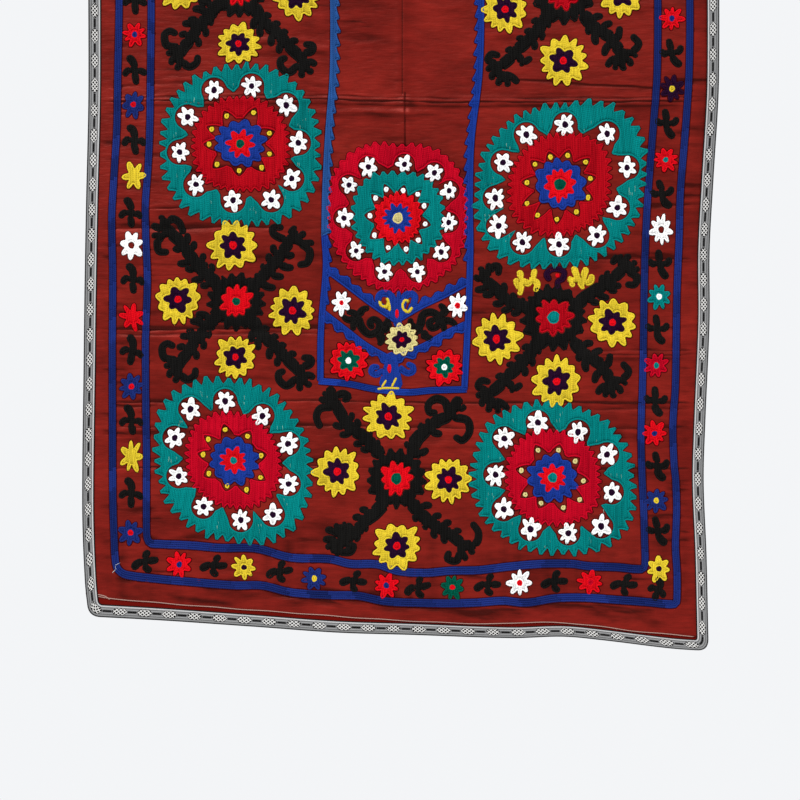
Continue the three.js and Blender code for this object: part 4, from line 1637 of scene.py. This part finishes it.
def hem_strip():
    """The darker strip behind the selvedge, as long as the cloth is wide."""
    start = left_edge(GRID["level_end"]) + STRIP_INSET["left"]
    stop = right_edge(GRID["level_end"]) - STRIP_INSET["right"]
    corner = OUTER_CORNER
    between = np.linspace(start + corner, stop - corner, STRIP_COLUMNS)
    xs = np.concatenate([start + STRIP_END_STEPS, between, (stop - STRIP_END_STEPS)[::-1]])
    depth = np.clip(corner - np.minimum(xs - start, stop - xs), 0, corner)
    rounding = corner - np.sqrt(corner**2 - depth**2)
    low = bottom_edge(xs) - STRIP_INSET["bottom"] - rounding
    high = selvedge(xs) - STRIP_OVERLAP
    shares = np.linspace(0, 1, STRIP_ROWS)[:, None]
    drop = high + (low - high) * shares
    x = np.broadcast_to(xs, drop.shape)
    return sheet("hem_strip", x, drop, -CLOTH_THICK - LAYER_GAP, STRIP_THICK, strip_material())


BAND_SIDE_STEPS, BAND_LEVEL_STEPS, BAND_CORNER_STEPS = 260, 180, 10


def band_edge(inset_share, radius):
    """One edge of the band as a closed loop, down the left, along the bottom, up the right and back."""
    low_left, low_right = BOTTOM_EDGE[0][1], BOTTOM_EDGE[-1][1]
    first_x, last_x = BOTTOM_EDGE[0][0], BOTTOM_EDGE[-1][0]

    def width(side, share):
        start, end = BAND_WIDTH[side]
        return inset_share * (start + (end - start) * share)

    def left(drop):
        return np.column_stack([left_edge(drop) + width("left", drop / low_left), drop])

    def right(drop):
        return np.column_stack([right_edge(drop) - width("right", 1 - drop / low_right), drop])

    def bottom(x):
        return np.column_stack([x, bottom_edge(x) - width("bottom", (x - first_x) / (last_x - first_x))])

    high = width("top", 0)

    def top(x):
        return np.column_stack([x, np.full(len(x), float(high))])

    def one(line, value):
        return line(np.array([float(value)]))[0]

    low = [one(bottom, x)[1] for x in (first_x, last_x)]
    corners = [one(left, high), one(left, low[0]), one(right, low[1]), one(right, high)]

    def run(start, stop, steps, line):
        return line(start + (stop - start) * np.arange(steps) / steps)

    def turn(start, corner, stop):
        t = (np.arange(BAND_CORNER_STEPS) / BAND_CORNER_STEPS)[:, None]
        return (1 - t) ** 2 * start + 2 * t * (1 - t) * corner + t * t * stop

    (tlx, _), (blx, _), (brx, _), (trx, _) = corners
    return np.concatenate(
        [
            run(high + radius, low[0] - radius, BAND_SIDE_STEPS, left),
            turn(one(left, low[0] - radius), corners[1], one(bottom, blx + radius)),
            run(blx + radius, brx - radius, BAND_LEVEL_STEPS, bottom),
            turn(one(bottom, brx - radius), corners[2], one(right, low[1] - radius)),
            run(low[1] - radius, high + radius, BAND_SIDE_STEPS, right),
            turn(one(right, high + radius), corners[3], one(top, trx - radius)),
            run(trx - radius, tlx + radius, BAND_LEVEL_STEPS, top),
            turn(one(top, tlx + radius), corners[0], one(left, high + radius)),
        ]
    )


# The length of a lozenge's repeat, and the band's section: the place across it and the rise there
REPEAT = 57.5
BAND_PROFILE = [
    (0, -0.7), (0.02, 0.1), (0.06, 0.35), (0.12, 0), (0.3, 0), (0.5, 0.25), (0.7, 0), (0.88, 0), (0.94, 0.35),
    (0.98, 0.1), (1, -0.7),
]


def woven_band():
    """The band as one looped sheet. It settles on the strip where the satin ends below it."""
    outer, inner = band_edge(0, OUTER_CORNER), band_edge(1, INNER_CORNER)
    middle = (outer + inner) / 2
    shares, rise = np.array(BAND_PROFILE).T
    x = outer[:, :1] + (inner[:, :1] - outer[:, :1]) * shares
    drop = outer[:, 1:] + (inner[:, 1:] - outer[:, 1:]) * shares
    settled = ease((drop - selvedge(x) - BAND_SETTLES["from"]) / BAND_SETTLES["over"])
    lift = LAYER_GAP + BAND_THICK - settled * (CLOTH_THICK + LAYER_GAP) + rise
    piece = sheet("woven_band", x, drop, lift, BAND_THICK, band_material(), looped=True)
    lengths = np.hypot(*(np.roll(middle, -1, axis=0) - middle).T)
    gone = np.concatenate([[0], np.cumsum(lengths)])
    repeats = round(gone[-1] / REPEAT)
    at_row = gone / gone[-1] * repeats
    mesh = piece.data
    rows, columns = x.shape
    layer_repeat = mesh.attributes.new("repeat", "FLOAT", "CORNER")
    layer_across = mesh.attributes.new("across", "FLOAT", "CORNER")
    corner_vertex = np.empty(len(mesh.loops), np.int32)
    mesh.loops.foreach_get("vertex_index", corner_vertex)
    row = corner_vertex % (rows * columns) // columns
    column = corner_vertex % columns
    face_of = np.repeat(np.arange(len(mesh.polygons)), 4)
    last_face = np.maximum.reduceat(row, np.arange(0, len(row), 4))[face_of] == rows - 1
    first_row = np.minimum.reduceat(row, np.arange(0, len(row), 4))[face_of] == 0
    repeat = at_row[np.where(last_face & first_row & (row == 0), rows, row)]
    layer_repeat.data.foreach_set("value", repeat.astype(np.float32))
    layer_across.data.foreach_set("value", shares[column].astype(np.float32))
    return piece


def selvedge_line(work):
    """The pale edge of the satin, with a short lap near its left end, and one loose thread."""
    xs = np.arange(97, 697, 3.0)
    ys = selvedge(chart_x(xs)) / POINT + CHART_ORIGIN[1]
    work.row(np.column_stack([xs, ys - 0.2 + 0.25 * np.sin(xs / 9)]), "selvedge", 2.5, 1.5)
    work.row(curve([(97, 593.5), (105, 595.5), (110, 599)], 2.0), "selvedge", 2.8, 2.0)
    work.row(curve([(120, 562), (115, 565), (116, 568), (112, 572)], 2.0), "white", 1.2, 1.4)


SUN = {"energy": 3.5, "softness": 0.3, "turned": (math.radians(42), 0, math.radians(-28))}
SKY = (0.9, 0.912, 0.93, 1)
FLOOR = {"radius": 2.2, "height": -3.05, "colour": (0.8, 0.8, 0.8, 1)}


def studio():
    """A pale floor below the hanging, an even pale surround and one soft light from the upper left."""
    scene = bpy.context.scene
    scene.view_settings.view_transform = "Standard"
    world = bpy.data.worlds.new("surround")
    world.use_nodes = True
    world.node_tree.nodes["Background"].inputs["Color"].default_value = SKY
    scene.world = world
    at = (0, 0, FLOOR["height"])
    bpy.ops.mesh.primitive_circle_add(vertices=96, radius=FLOOR["radius"], fill_type="NGON", location=at)
    floor = bpy.context.object
    floor.name = "floor"
    s = Shader("floor", roughness=0.9)
    floor.data.materials.append(s.finish(FLOOR["colour"]))
    floor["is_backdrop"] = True
    sun = bpy.data.lights.new("key", "SUN")
    sun.energy = SUN["energy"]
    sun.angle = SUN["softness"]
    key = bpy.data.objects.new("key", sun)
    key.rotation_euler = SUN["turned"]
    scene.collection.objects.link(key)


add_camera()
thread_materials = {name: thread_material(name, colour) for name, colour in THREADS.items()}

cloth = satin_cloth()
strip = hem_strip()
band = woven_band()
for piece, node in ((cloth, "ground_cloth"), (strip, "backing_strip"), (band, "edging_band")):
    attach(piece, "root")
    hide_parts(node)

works = []
for k, w in enumerate(ROSETTES):
    work = Stitching(f"rosette_{k + 1}")
    wheel(work, w)
    glints(work, w)
    works.append(work)
work = Stitching("medallion")
wheel(work, MEDALLION, MEDALLION_FLOWER_SIZE)
works.append(work)
for k, c in enumerate(CROSSES + [moved(*m) for m in UNSEEN_CROSSES]):
    work = Stitching(f"cross_{k + 1}")
    cross(work, c)
    for x, y, size in c.flowers:
        sunflower(work, (x, y), size)
    works.append(work)
work = Stitching("niche")
niche(work)
tulips(work)
works.append(work)
work = Stitching("border_flowers")
border(work)
works.append(work)
work = Stitching("border_bars")
for points in (INNER_BAR, OUTER_BAR):
    bar(work, points)
selvedge_line(work)
works.append(work)
embroidery = [work.build() for work in works]

studio()

for piece in [cloth, strip, band, *embroidery]:
    print(piece.name, sum(len(p.vertices) - 2 for p in piece.data.polygons), "triangles")

as_lists = lambda box: [[float(v) for v in corner] for corner in box]
{"cad": as_lists(cad_box), "visual": as_lists(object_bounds())}
